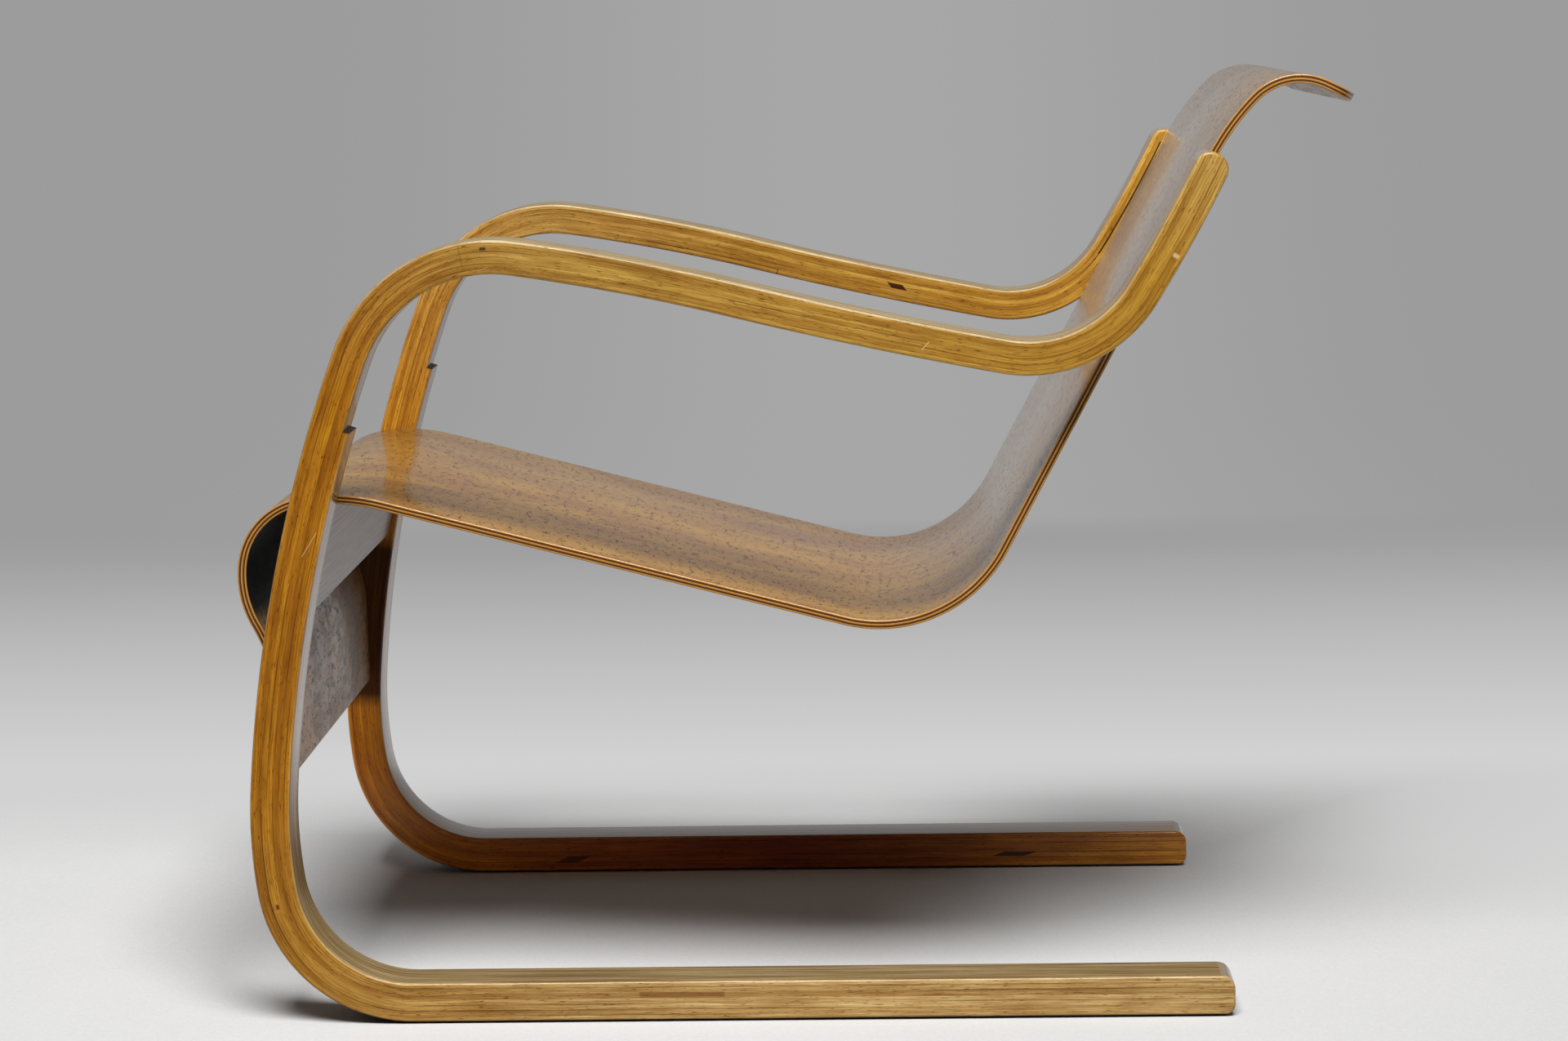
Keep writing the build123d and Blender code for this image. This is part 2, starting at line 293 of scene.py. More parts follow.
@dataclass
class Sweep:
    """One layer of a bent strip, between two depths of its course.

    ends gives the first and last distance at a depth, and half_width gives half of the
    width at a distance and a depth. sides is the zone of the layer's long edges. The
    layer is closed, so it is a solid of its own.
    """

    course: Course
    rows: list[float]
    stations: list[float]
    ends: Callable[[float], Pair]
    half_width: Callable[[float, float], float]
    centre_x: float = 0.0
    distance_shift: float = 0.0
    sides: Zone = Zone.FACE
    sharp_angle: float = 32.0

    def station_at(self, station: float, depth: float) -> float:
        """Distance of a station at a depth, drawn in where the strip's end is rounded."""
        low, high = self.ends(depth)
        first, last = self.stations[0], self.stations[-1]
        if station < first + END_ZONE:
            share = (station - first) / END_ZONE
            return low + share * (first + END_ZONE - low)
        if station > last - END_ZONE:
            share = (last - station) / END_ZONE
            return high - share * (high - last + END_ZONE)
        return station

    def mesh(self, name: str) -> bpy.types.Mesh:
        """Build the closed mesh of the layer.

        Args:
            name: Name of the mesh.

        Returns:
            The mesh, with smooth faces, sharp corners and the place attribute.
        """
        points, places, faces, zones = [], [], [], []
        rows, columns = len(self.rows), len(self.stations)
        for station in self.stations:
            for side in (1, -1):
                for depth in self.rows if side > 0 else reversed(self.rows):
                    distance = self.station_at(station, depth)
                    across = side * self.half_width(distance, depth)
                    y, z = self.course.place(distance, depth)
                    points.append(((self.centre_x + across) * MM, y * MM, z * MM))
                    along = distance * MM + self.distance_shift
                    places += (along, depth * MM, across * MM)
        ring = 2 * rows
        for column in range(columns - 1):
            for spot in range(ring):
                after = (spot + 1) % ring
                here, there = column * ring, (column + 1) * ring
                faces.append((there + spot, there + after, here + after, here + spot))
                flat = spot in (rows - 1, ring - 1)
                zones.append(Zone.FACE.value if flat else self.sides.value)
        for start in (0, (columns - 1) * ring):
            for row in range(rows - 1):
                near, far = start + row, start + ring - 1 - row
                quad = (near, near + 1, far - 1, far)
                faces.append(quad[::-1] if start == 0 else quad)
                zones.append(Zone.EDGE.value)
        made = bpy.data.meshes.new(name)
        made.from_pydata(points, [], faces)
        made.polygons.foreach_set("material_index", zones)
        made.attributes.new(STRIP_PLACE, "FLOAT_VECTOR", "POINT")
        made.attributes[STRIP_PLACE].data.foreach_set("vector", places)
        made.polygons.foreach_set("use_smooth", [True] * len(faces))
        made.set_sharp_from_angle(angle=radians(self.sharp_angle))
        made.update()
        return made


def dress(
    name: str, mesh: bpy.types.Mesh, node: str, finishes: list[bpy.types.Material]
) -> bpy.types.Object:
    """Put a mesh in the scene in place of a CAD node, riding on the chair's one body.

    Args:
        name: Name of the piece.
        mesh: Its mesh, in the frame of the chair.
        node: CAD node that it stands for.
        finishes: Materials, in the order of the zones.

    Returns:
        The new object.
    """
    piece = link_to_scene(bpy.data.objects.new(name, mesh))
    for finish in finishes:
        mesh.materials.append(finish)
    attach(piece, BODY)
    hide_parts(node)
    log.info("%s: %d faces, stands for %s", name, len(mesh.polygons), node)
    return piece


# ---- Finishes ------------------------------------------------------------------------
@dataclass(frozen=True)
class Finish:
    """What every finish has: its name, its lacquer's gloss and how it is built.

    A finish gives the rest of the shader's inputs through its surface method.
    """

    name: str
    ior: float = 1.5
    specular: float = 0.25
    coat: float = 1.0
    coat_roughness: float = 0.08

    def surface(self, add: Adder) -> dict:
        """Inputs of the shader that are the finish's own."""
        raise NotImplementedError

    def build(self) -> bpy.types.Material:
        """Build the material.

        Returns:
            The material, with its shader linked to the output.
        """
        material = bpy.data.materials.new(self.name)
        add = empty_tree(material)
        lacquer = {
            "IOR": self.ior,
            "Specular IOR Level": self.specular,
            "Coat Weight": self.coat,
            "Coat Roughness": self.coat_roughness,
            "Coat IOR": self.ior,
        }
        add("OutputMaterial", add("BsdfPrincipled", named=lacquer | self.surface(add)))
        return material


def strip_place(add: Adder) -> tuple[Socket, Socket, Socket, Socket]:
    """Place on a strip: the whole vector, and how far along, into and across the strip."""
    vector = add("Attribute", attribute_name=STRIP_PLACE).node.outputs["Vector"]
    along, depth, across = add("SeparateXYZ", vector).node.outputs
    return vector, along, depth, across


@dataclass(frozen=True)
class Grain:
    """One kind of grain: its size and detail, and the noise values at its two tones."""

    length: float
    width: float
    detail: float
    low: float
    high: float
    darkest: float
    palest: float


@dataclass(frozen=True)
class WearAndPaintedLightZone:
    """Wood changed by use and dirt, with painted light and shade: how deep it goes, its tone, and
    where it is.

    where gives its amount, from black for none to white for all, over the share of the
    frame's course from the runner's end to the post's crown. It is whole down to the
    depth full, and gone at reach.
    """

    reach: float
    tone: str
    where: Stops
    full: float = 0.2


@dataclass(frozen=True)
class Mark:
    """A let-in patch, glue gap, scar or patch of painted shade on the side of a frame, placed
    along its course.

    slant leans it along the grain for each millimetre of depth, and soft is the width
    of its fading edge.
    """

    distance: float
    depth: float
    length: float
    height: float
    on_right: bool = False
    slant: float = 0.0
    tone: str = "3A1C0A"
    strength: float = 0.8
    soft: float = 0.3


@dataclass(frozen=True)
class FramePlace:
    """Outputs that say where on a frame a point lies, for the layers of its finish.

    distance and share run from the runner's end, and on_right is 1 on the right frame.
    room is the depth below the nearer flat face, and behind the depth from the rear one.
    """

    vector: Socket
    distance: Socket
    share: Socket
    depth: Socket
    behind: Socket
    room: Socket
    across: Socket
    on_right: Socket


@dataclass(frozen=True)
class LacqueredLaminate(Finish):
    """Birch laminae, glued, bent round a form and planed flush, under clear lacquer.

    Planing across the layers shows each lamina as its own band with straight grain
    along the bend, parted by thin dark glue lines. Old lacquer turns the birch honey,
    and red-brown where it lies thick; on the right frame the darkest red-brown is
    painted shade. Some pale and dark zones are painted reflection, highlight and
    contact shadow. The glue line is drawn wider than the real 0.2 mm, so that it shows.
    """

    ior: float = 1.42
    specular: float = 0.15
    coat_roughness: float = 0.15
    worn_coat: float = 0.08
    roughness: Pair = (0.36, 0.56)
    # The strip that it covers. Its side faces lie further across than side_from.
    lamina: float = 4.4
    leg_thickness: float = 30.8
    notch: float = 1181.2
    length: float = 2020.5
    side_from: float = 23.0
    # Grain. own_shade is the darkest lamina's shade, and how much paler others may be.
    streaks: Grain = Grain(150.0, 2.6, 4.0, 0.30, 0.70, 0.80, 1.20)
    fibres: Grain = Grain(26.0, 0.6, 3.0, 0.30, 0.65, 0.70, 1.22)
    pores: Grain = Grain(7.0, 0.8, 1.0, 0.29, 0.36, 0.45, 1.00)
    clouds: Grain = Grain(60.0, 14.0, 2.0, 0.30, 0.70, 0.86, 1.14)
    grain_roughness: float = 0.6
    own_shade: Pair = (0.80, 0.28)
    frame_seed: float = 17.0
    green_fall: float = 1.4
    blue_fall: float = 2.1
    # Glue lines. glue_core of their width is full dark, and they fade with the streaks.
    glue_line: float = 0.6
    glue_core: float = 0.3
    glue_fade: tuple[float, float, float, float] = (0.38, 0.58, 0.9, 0.12)
    line_strength: Pair = (0.45, 1.0)
    glue_tone: str = "4A2C0C"
    groove: float = 0.06
    # Flat faces, whose own look grows between two depths.
    face_zone: Pair = (1.0, 0.1)
    face_tint: str = "F0EBE2"
    face_calm: float = 0.62
    # Tones from the runner's end to the post's crown, with painted light and shade on the
    # right frame, and what use, dirt and painted light have done to them.
    left_tones: Stops = (
        (0.00, "B8965E"), (0.16, "B8945A"), (0.25, "AC8850"), (0.37, "A27224"),
        (0.44, "9C640C"), (0.60, "98600A"), (0.70, "A27C36"), (0.88, "AA8030"),
        (0.95, "A47824"), (1.00, "A8823E"))
    # Painted shade darkens the right runner's middle, where the seat shades it, and painted light
    # brightens its foot bend.
    right_tones_with_painted_light: Stops = (
        (0.00, "C27E18"), (0.09, "B0640C"), (0.18, "923400"), (0.27, "C06008"),
        (0.32, "D87C06"), (0.39, "EE8E00"), (0.55, "B87A18"), (0.68, "AC8440"),
        (0.78, "A67C2F"), (0.92, "B68630"), (1.00, "BE8C34"))
    # Paler edges: worn wood, and a painted highlight along the rounded edges.
    edges: WearAndPaintedLightZone = WearAndPaintedLightZone(2.0, "D8B068", ((0.0, "AAAAAA"), (1.0, "AAAAAA")))
    # Pale, dull arm tops: worn lacquer, and a painted reflection of the overhead light.
    arm_tops: WearAndPaintedLightZone = WearAndPaintedLightZone(2.6, "B6A684", (
        (0.60, "000000"), (0.66, "FFFFFF"), (0.91, "FFFFFF"), (0.96, "808080")))
    # Grey-tan, dull top of the left runner only: worn lacquer, and a painted reflection of the
    # floor.
    left_runner_top: WearAndPaintedLightZone = WearAndPaintedLightZone(1.4, "9E8A62", ((0.395, "FFFFFF"), (0.46, "000000")))
    # Dark soles: dirt, and a painted contact shadow along their lower edges.
    soles: WearAndPaintedLightZone = WearAndPaintedLightZone(1.6, "1E1408", ((0.33, "FFFFFF"), (0.36, "000000")))
    marks: tuple[Mark, ...] = ()

    def surface(self, add: Adder) -> dict:
        """Bands of grain and glue along the strip, with its worn zones and marks.

        Args:
            add: Adds a node.

        Returns:
            The shader's inputs.
        """
        place = self.find_place(add)
        layer = add("Math", place.depth, self.lamina * MM, operation="DIVIDE")
        number = add("Math", layer, operation="FLOOR")
        seed = add("Math", place.on_right, self.frame_seed, number, operation="MULTIPLY_ADD")
        own_tone = add("TexWhiteNoise", named={"W": seed}, noise_dimensions="1D")
        darkest, spread = self.own_shade
        shade = add("Math", own_tone, spread, darkest, operation="MULTIPLY_ADD")
        noises = []
        for grain in (self.streaks, self.fibres, self.pores, self.clouds):
            sizes = (grain.length, grain.width, grain.width)
            noise = grain_noise(add, place.vector, sizes, grain.detail, self.grain_roughness)
            change = add("MapRange", noise, grain.low, grain.high, grain.darkest, grain.palest)
            shade = add("Math", shade, change, operation="MULTIPLY")
            noises.append(noise)
        streaks, fibres = noises[:2]

        # Dark grain is redder than pale grain, so green and blue fall faster than red.
        green, blue = (add("Math", shade, fall, operation="POWER")
                       for fall in (self.green_fall, self.blue_fall))
        tint = add("CombineXYZ", shade, green, blue)
        # The flat faces show the sliced face of one lamina, which has a calmer grain.
        outer, inner = self.face_zone
        on_face = add("MapRange", place.room, outer * MM, inner * MM, 0.0, self.face_calm)
        tint = add("Mix", named={"Factor": on_face, "A": tint, "B": linear(self.face_tint)},
                   data_type="RGBA")
        tone, dull = self.wear_and_painted_light(add, place, self.clean_tone(add, place))
        wood = add("VectorMath", tone, tint, operation="MULTIPLY")
        glue = self.glue_lines(add, layer, streaks)
        glued = add("Mix", named={"Factor": glue, "A": wood, "B": linear(self.glue_tone)},
                    data_type="RGBA")
        grooves = add("Math", glue, -1.0, fibres, operation="MULTIPLY_ADD")
        return {
            "Base Color": self.marked(add, place, glued),
            "Roughness": add("MapRange", fibres, *NOISE_RANGE, *self.roughness),
            "Specular IOR Level": add("MapRange", dull, 0.0, 1.0, self.specular, 0.0),
            "Coat Weight": add("MapRange", dull, 0.0, 1.0, self.coat, self.worn_coat),
            "Normal": add("Bump", named={"Height": grooves, "Distance": self.groove * MM}),
        }

    def find_place(self, add: Adder) -> FramePlace:
        """Work out where on which frame a point lies.

        Args:
            add: Adds a node.

        Returns:
            The outputs that the finish's layers read.
        """
        vector, along, depth, across = strip_place(add)
        on_right = add("Math", along, RIGHT_FRAME_SHIFT / 2, operation="GREATER_THAN")
        own = add("Math", on_right, -RIGHT_FRAME_SHIFT, along, operation="MULTIPLY_ADD")
        share = add("Math", own, self.length * MM, operation="DIVIDE")
        above = add("Math", own, self.notch * MM, operation="GREATER_THAN")
        thick = add("Math", above, -self.lamina * MM, self.leg_thickness * MM,
                    operation="MULTIPLY_ADD")
        behind = add("Math", thick, depth, operation="SUBTRACT")
        room = add("Math", depth, behind, operation="MINIMUM")
        return FramePlace(vector, own, share, depth, behind, room, across, on_right)

    def clean_tone(self, add: Adder, place: FramePlace) -> Socket:
        """Colour of the lacquered wood, which light has bleached unevenly, with painted light and
        shade on the right frame.

        Args:
            add: Adds a node.
            place: Where on the frame a point lies.

        Returns:
            The colour, before its grain and its worn zones.
        """
        left, right = (add("ValToRGB", place.share, stops=tones)
                       for tones in (self.left_tones, self.right_tones_with_painted_light))
        return add("Mix", named={"Factor": place.on_right, "A": left, "B": right},
                   data_type="RGBA")

    def glue_lines(self, add: Adder, layer: Socket, streaks: Socket) -> Socket:
        """Thin dark lines between the laminae, some fainter than others.

        Args:
            add: Adds a node.
            layer: Depth in laminae.
            streaks: Grain that the lines fade in and out with.

        Returns:
            How much glue shows, from 0 to 1.
        """
        in_layer = add("Math", layer, operation="FRACT")
        off_middle = add("Math", in_layer, 0.5, operation="SUBTRACT")
        off_middle = add("Math", off_middle, operation="ABSOLUTE")
        first, full = (0.5 - share * self.glue_line / self.lamina for share in (1, self.glue_core))
        glue = add("MapRange", off_middle, first, full, interpolation_type="SMOOTHSTEP")
        faint = add("MapRange", streaks, *self.glue_fade)
        line = add("Math", layer, operation="ROUND")
        own_line = add("TexWhiteNoise", named={"W": line}, noise_dimensions="1D")
        own_line = add("MapRange", own_line, 0.0, 1.0, *self.line_strength)
        for factor in (faint, own_line):
            glue = add("Math", glue, factor, operation="MULTIPLY")
        return glue

    def wear_and_painted_light(self, add: Adder, place: FramePlace, tone: Socket) -> tuple[Socket, Socket]:
        """Worn and dirty wood, with painted reflection, highlight and contact shadow.

        Args:
            add: Adds a node.
            place: Where on the frame a point lies.
            tone: Colour of the lacquered wood.

        Returns:
            The colour with its worn zones, and how dull it is from 0 to 1.
        """
        on_left = add("Math", 1.0, place.on_right, operation="SUBTRACT")
        dull = None
        for zone, inside in (
            (self.edges, place.room),
            (self.arm_tops, place.depth),
            (self.left_runner_top, place.behind),
            (self.soles, place.depth),
        ):
            skin = add("MapRange", inside, zone.reach * MM, zone.full * MM)
            where = add("ValToRGB", place.share, stops=zone.where)
            amount = add("Math", skin, where, operation="MULTIPLY")
            if zone is self.left_runner_top:
                amount = add("Math", amount, on_left, operation="MULTIPLY")
            tone = add("Mix", named={"Factor": amount, "A": tone, "B": linear(zone.tone)},
                       data_type="RGBA")
            # The paler edges keep their gloss, and all later zones are dull.
            if zone is self.arm_tops:
                dull = amount
            elif dull is not None:
                dull = add("Math", dull, amount, operation="MAXIMUM")
        return tone, dull

    def marked(self, add: Adder, place: FramePlace, colour: Socket) -> Socket:
        """Lay the marks over the outer side of a frame.

        Args:
            add: Adds a node.
            place: Where on the frame a point lies.
            colour: Colour of the plain wood.

        Returns:
            The marked colour.
        """
        on_side = add("Math", place.across, self.side_from * MM, operation="GREATER_THAN")
        for mark in self.marks:
            off_depth = add("Math", place.depth, mark.depth * MM, operation="SUBTRACT")
            off_along = add("Math", place.distance, mark.distance * MM, operation="SUBTRACT")
            leant = add("Math", off_depth, mark.slant, off_along, operation="MULTIPLY_ADD")
            same_frame = add("Math", place.on_right, float(mark.on_right), 0.5,
                             operation="COMPARE")
            amount = add("Math", same_frame, on_side, operation="MULTIPLY")
            for off, size in ((leant, mark.length), (off_depth, mark.height)):
                away = add("Math", off, operation="ABSOLUTE")
                near = add("MapRange", away, (size + mark.soft) / 2 * MM,
                           (size - mark.soft) / 2 * MM)
                amount = add("Math", amount, near, operation="MULTIPLY")
            amount = add("Math", amount, mark.strength, operation="MULTIPLY")
            colour = add("Mix", named={"Factor": amount, "A": colour, "B": linear(mark.tone)},
                         data_type="RGBA")
        return colour


@dataclass(frozen=True)
class LaminateEndGrain(Finish):
    """Sawn ends of the birch laminae, which soak up lacquer and go dark.

    The end at the notch is almost black and dull.
    """

    pore: float = 0.9
    pore_depth: float = 0.08
    roughness: float = 0.5
    notch: float = 1181.2
    notch_zone: float = 100.0
    notch_tone: str = "24120A"
    tones: Stops = ((0.30, "6C5230"), (0.52, "8C7044"), (0.72, "A88C5E"))

    def surface(self, add: Adder) -> dict:
        """Dark open pores, almost black at the notch.

        Args:
            add: Adds a node.

        Returns:
            The shader's inputs.
        """
        vector, along, _, _ = strip_place(add)
        pores = add("TexNoise", named={
            "Vector": vector, "Scale": per_metre(self.pore), "Detail": 3.0})
        outside_zone = add("ValToRGB", pores, stops=self.tones)
        own = add("Math", along, RIGHT_FRAME_SHIFT, operation="MODULO")
        at_notch = add("Math", own, self.notch * MM, self.notch_zone * MM, operation="COMPARE")
        return {
            "Base Color": add("Mix", named={
                "Factor": at_notch, "A": outside_zone, "B": linear(self.notch_tone)}, data_type="RGBA"),
            "Roughness": self.roughness,
            "Coat Weight": add("MapRange", at_notch, 0.0, 1.0, self.coat, 0.0),
            "Normal": add("Bump", named={"Height": pores, "Distance": self.pore_depth * MM}),
        }


@dataclass(frozen=True)
class LacqueredCurlyVeneer(Finish):
    """Sliced curly birch veneer, pressed onto the shell and lacquered to a gloss.

    The slice shows short dark flecks that curl across the sheet, soft clouds of amber
    and grey, and a fine straight fibre along the shell. Patterns have their sizes along,
    into and across the shell. Between the two distances of gloss_zone, the lacquer's
    weight and haze, the wood's tone and the dust and sheen on it go from the first of
    their ends to the second. The sheen is partly dust and partly a painted reflection,
    which greys the back.
    """

    # Flecks are the lines where a curling noise is near its middle value, cut short
    # by a second noise that is fleck_gap times as wide.
    flecks: Triple = (3.4, 3.4, 10.0)
    fleck_line: Pair = (0.042, 0.015)
    fleck_gap: float = 1.6
    fleck_reach: Pair = (0.50, 0.56)
    fleck_tone: str = "38220F"
    fleck_dull: float = 0.45
    pit_depth: float = 0.04
    clouds: Triple = (130.0, 130.0, 60.0)
    fibres: Triple = (40.0, 40.0, 0.7)
    fibre_tones: Pair = (0.84, 1.12)
    roughness: Pair = (0.34, 0.5)
    mottle: Triple = (12.0, 12.0, 30.0)
    mottle_range: Pair = (0.40, 0.60)
    mottle_coat: float = 0.9
    grain_roughness: float = 0.55
    tones: Stops = ((0.30, "90602A"), (0.45, "9E6F2C"), (0.58, "AA7C2E"), (0.74, "B48836"))
    # What changes along the shell.
    gloss_zone: Pair = (470.0, 620.0)
    gloss_ends: Pair = (1.0, 0.50)
    tone_ends: Pair = (0.64, 0.96)
    haze_ends: Pair = (0.16, 0.09)
    # Dust and sheen: the sheen partly stands in for the grey reflection on the back.
    dust_and_sheen_ends: Pair = (0.08, 0.0)
    # Painted shade inside the scroll: where it lies, its fades and its dark tone.
    painted_shade_zone: Optional[Pair] = None
    painted_shade_fade: Pair = (25.0, 40.0)
    painted_shade_tone: str = "060402"

    def surface(self, add: Adder) -> dict:
        """Clouds, fibre and flecks of the figure under a gloss that changes along the shell.

        Args:
            add: Adds a node.

        Returns:
            The shader's inputs.
        """
        vector, along, _, _ = strip_place(add)
        noise = partial(grain_noise, add, vector, roughness=self.grain_roughness)
        clouds = noise(self.clouds, 4.0, distortion=0.6)
        wood = add("ValToRGB", clouds, stops=self.tones)
        fibres = noise(self.fibres, 3.0)
        first, last = self.gloss_zone
        gain, coat, haze, dust_and_sheen = (
            add("MapRange", along, first * MM, last * MM, *ends)
            for ends in (self.tone_ends, self.gloss_ends, self.haze_ends, self.dust_and_sheen_ends))
        for factor in (add("MapRange", fibres, *NOISE_RANGE, *self.fibre_tones), gain):
            wood = add("VectorMath", wood, named={"Scale": factor}, operation="SCALE")

        fleck = self.fleck_lines(add, noise)
        # A fleck is a small pit in the lacquer, so it breaks the reflection too.
        whole = add("MapRange", fleck, 0.0, 1.0, 1.0, self.fleck_dull)
        mottle = noise(self.mottle, 5.0, distortion=0.4)
        mottle = add("MapRange", mottle, *self.mottle_range, self.mottle_coat, 1.0)
        for factor in (whole, mottle):
            coat = add("Math", coat, factor, operation="MULTIPLY")
        colour = add("Mix", named={"Factor": fleck, "A": wood, "B": linear(self.fleck_tone)},
                     data_type="RGBA")
        # Painted shade: the scroll's inside goes dark and dull where the shell shades it.
        if self.painted_shade_zone:
            colour, coat = self.paint_scroll_shade(add, along, colour, coat)
        pits = add("Math", fleck, -1.0, fibres, operation="MULTIPLY_ADD")
        return {
            "Base Color": colour,
            "Roughness": add("MapRange", fibres, *NOISE_RANGE, *self.roughness),
            "Coat Weight": coat,
            "Coat Roughness": haze,
            # Sheen of dust, and a painted reflection that greys the back.
            "Sheen Weight": dust_and_sheen,
            "Normal": add("Bump", named={"Height": pits, "Distance": self.pit_depth * MM}),
        }

    def fleck_lines(self, add: Adder, noise: Adder) -> Socket:
        """Short curling lines, in the scattered spots where the figure comes up.

        Args:
            add: Adds a node.
            noise: Adds a noise with features of three sizes.

        Returns:
            How dark a fleck is, from 0 to 1.
        """
        curls = noise(self.flecks, 1.5, distortion=0.9)
        line = add("Math", curls, 0.5, operation="SUBTRACT")
        line = add("Math", line, operation="ABSOLUTE")
        line = add("MapRange", line, *self.fleck_line)
        apart = noise(tuple(self.fleck_gap * size for size in self.flecks), 1.0)
        apart = add("MapRange", apart, *self.fleck_reach)
        return add("Math", line, apart, operation="MULTIPLY")

    def paint_scroll_shade(
        self, add: Adder, along: Socket, colour: Socket, coat: Socket
    ) -> tuple[Socket, Socket]:
        """Paint shade into the inside of the scroll, which the shell shades: darker and dull.

        Args:
            add: Adds a node.
            along: Distance along the shell.
            colour: Colour of the veneer without the painted shade.
            coat: Weight of the lacquer without the painted shade.

        Returns:
            The colour and the lacquer's weight, with their painted shade.
        """
        first, last = self.painted_shade_zone
        fade_in, fade_out = self.painted_shade_fade
        into = add("MapRange", along, (first - fade_in) * MM, first * MM)
        out_of = add("MapRange", along, (last + fade_out) * MM, last * MM)
        amount = add("Math", into, out_of, operation="MULTIPLY")
        outside_zone = add("Math", 1.0, amount, operation="SUBTRACT")
        dulled = add("Math", coat, outside_zone, operation="MULTIPLY")
        darkened = add("Mix", named={
            "Factor": amount, "A": colour, "B": linear(self.painted_shade_tone)}, data_type="RGBA")
        return darkened, dulled


@dataclass(frozen=True)
class LacqueredPlyEdge(Finish):
    """Sanded and lacquered edge of the birch plywood.

    Plies that run along the edge stay pale and plies that meet it end on go brown, so
    the edge shows five thin stripes.
    """

    ply: float = 1.4
    fibre: float = 0.35
    fibre_length: float = 14.0
    fibre_depth: float = 0.05
    fibre_tones: Pair = (0.72, 1.2)
    roughness: float = 0.42
    stripes: Stops = (
        (0.00, "BE8C48"), (0.40, "AE7832"), (0.50, "42240A"), (0.70, "5E3612"),
        (0.94, "42240A"), (1.00, "B9843E"))

    def surface(self, add: Adder) -> dict:
        """Stripes of the plies with their fibre.

        Args:
            add: Adds a node.

        Returns:
            The shader's inputs.
        """
        vector, _, depth, _ = strip_place(add)
        pairs = add("Math", depth, -2 * self.ply * MM, operation="DIVIDE")
        in_pair = add("Math", pairs, operation="FRACT")
        plies = add("ValToRGB", in_pair, stops=self.stripes)
        sizes = (self.fibre_length, self.fibre, self.fibre_length)
        fibres = grain_noise(add, vector, sizes, 3.0)
        tone = add("MapRange", fibres, *NOISE_RANGE, *self.fibre_tones)
        return {
            "Base Color": add("VectorMath", plies, named={"Scale": tone}, operation="SCALE"),
            "Roughness": self.roughness,
            "Normal": add("Bump", named={"Height": fibres, "Distance": self.fibre_depth * MM}),
        }


@dataclass(frozen=True)
class LacqueredSolidBirch(Finish):
    """Sawn and planed birch boards with thin clear lacquer, grain across the chair.

    Planing leaves long straight pores that show as fine dark lines.
    """

    streak: float = 2.4
    streak_length: float = 120.0
    pore: float = 0.9
    pore_length: float = 26.0
    pore_depth: float = 0.06
    pore_range: tuple[float, float, float, float] = (0.46, 0.34, 0.0, 0.7)
    pore_tone: str = "4A3524"
    roughness: float = 0.45
    coat: float = 0.5
    coat_roughness: float = 0.14
    tones: Stops = ((0.30, "4A3220"), (0.50, "745232"), (0.70, "8E6C46"))

    def surface(self, add: Adder) -> dict:
        """Streaks and dark pores along the board's own length.

        Args:
            add: Adds a node.

        Returns:
            The shader's inputs.
        """
        place = add("TexCoord").node.outputs["Object"]
        streaks, pores = (
            grain_noise(add, place, (length, width, width), detail)
            for length, width, detail in (
                (self.streak_length, self.streak, 4.0), (self.pore_length, self.pore, 2.0)))
        wood = add("ValToRGB", streaks, stops=self.tones)
        dark = add("MapRange", pores, *self.pore_range)
        return {
            "Base Color": add("Mix", named={
                "Factor": dark, "A": wood, "B": linear(self.pore_tone)}, data_type="RGBA"),
            "Roughness": self.roughness,
            "Coat Weight": add("MapRange", dark, 0.0, 1.0, self.coat, 0.5 * self.coat),
            "Normal": add("Bump", named={"Height": pores, "Distance": self.pore_depth * MM}),
        }


@dataclass(frozen=True)
class TurnedBrass(Finish):
    """Brass wood screws, turned from bar and left plain, so that air has dulled them."""

    specular: float = 0.5
    coat: float = 0.0
    tarnish: float = 1.6
    roughness: Pair = (0.48, 0.28)
    tones: Stops = ((0.35, "8C6A30"), (0.60, "C09A50"), (0.75, "D2B06A"))

    def surface(self, add: Adder) -> dict:
        """Uneven tarnish over bare metal.

        Args:
            add: Adds a node.

        Returns:
            The shader's inputs.
        """
        place = add("TexCoord").node.outputs["Object"]
        tarnish = add("TexNoise", named={
            "Vector": place, "Scale": per_metre(self.tarnish), "Detail": 3.0})
        return {
            "Base Color": add("ValToRGB", tarnish, stops=self.tones),
            "Roughness": add("MapRange", tarnish, *NOISE_RANGE, *self.roughness),
            "Metallic": 1.0,
        }


# ---- Frames --------------------------------------------------------------------------
class Side(Enum):
    """Side of the sitter, with the sign of its X."""

    LEFT = 1
    RIGHT = -1


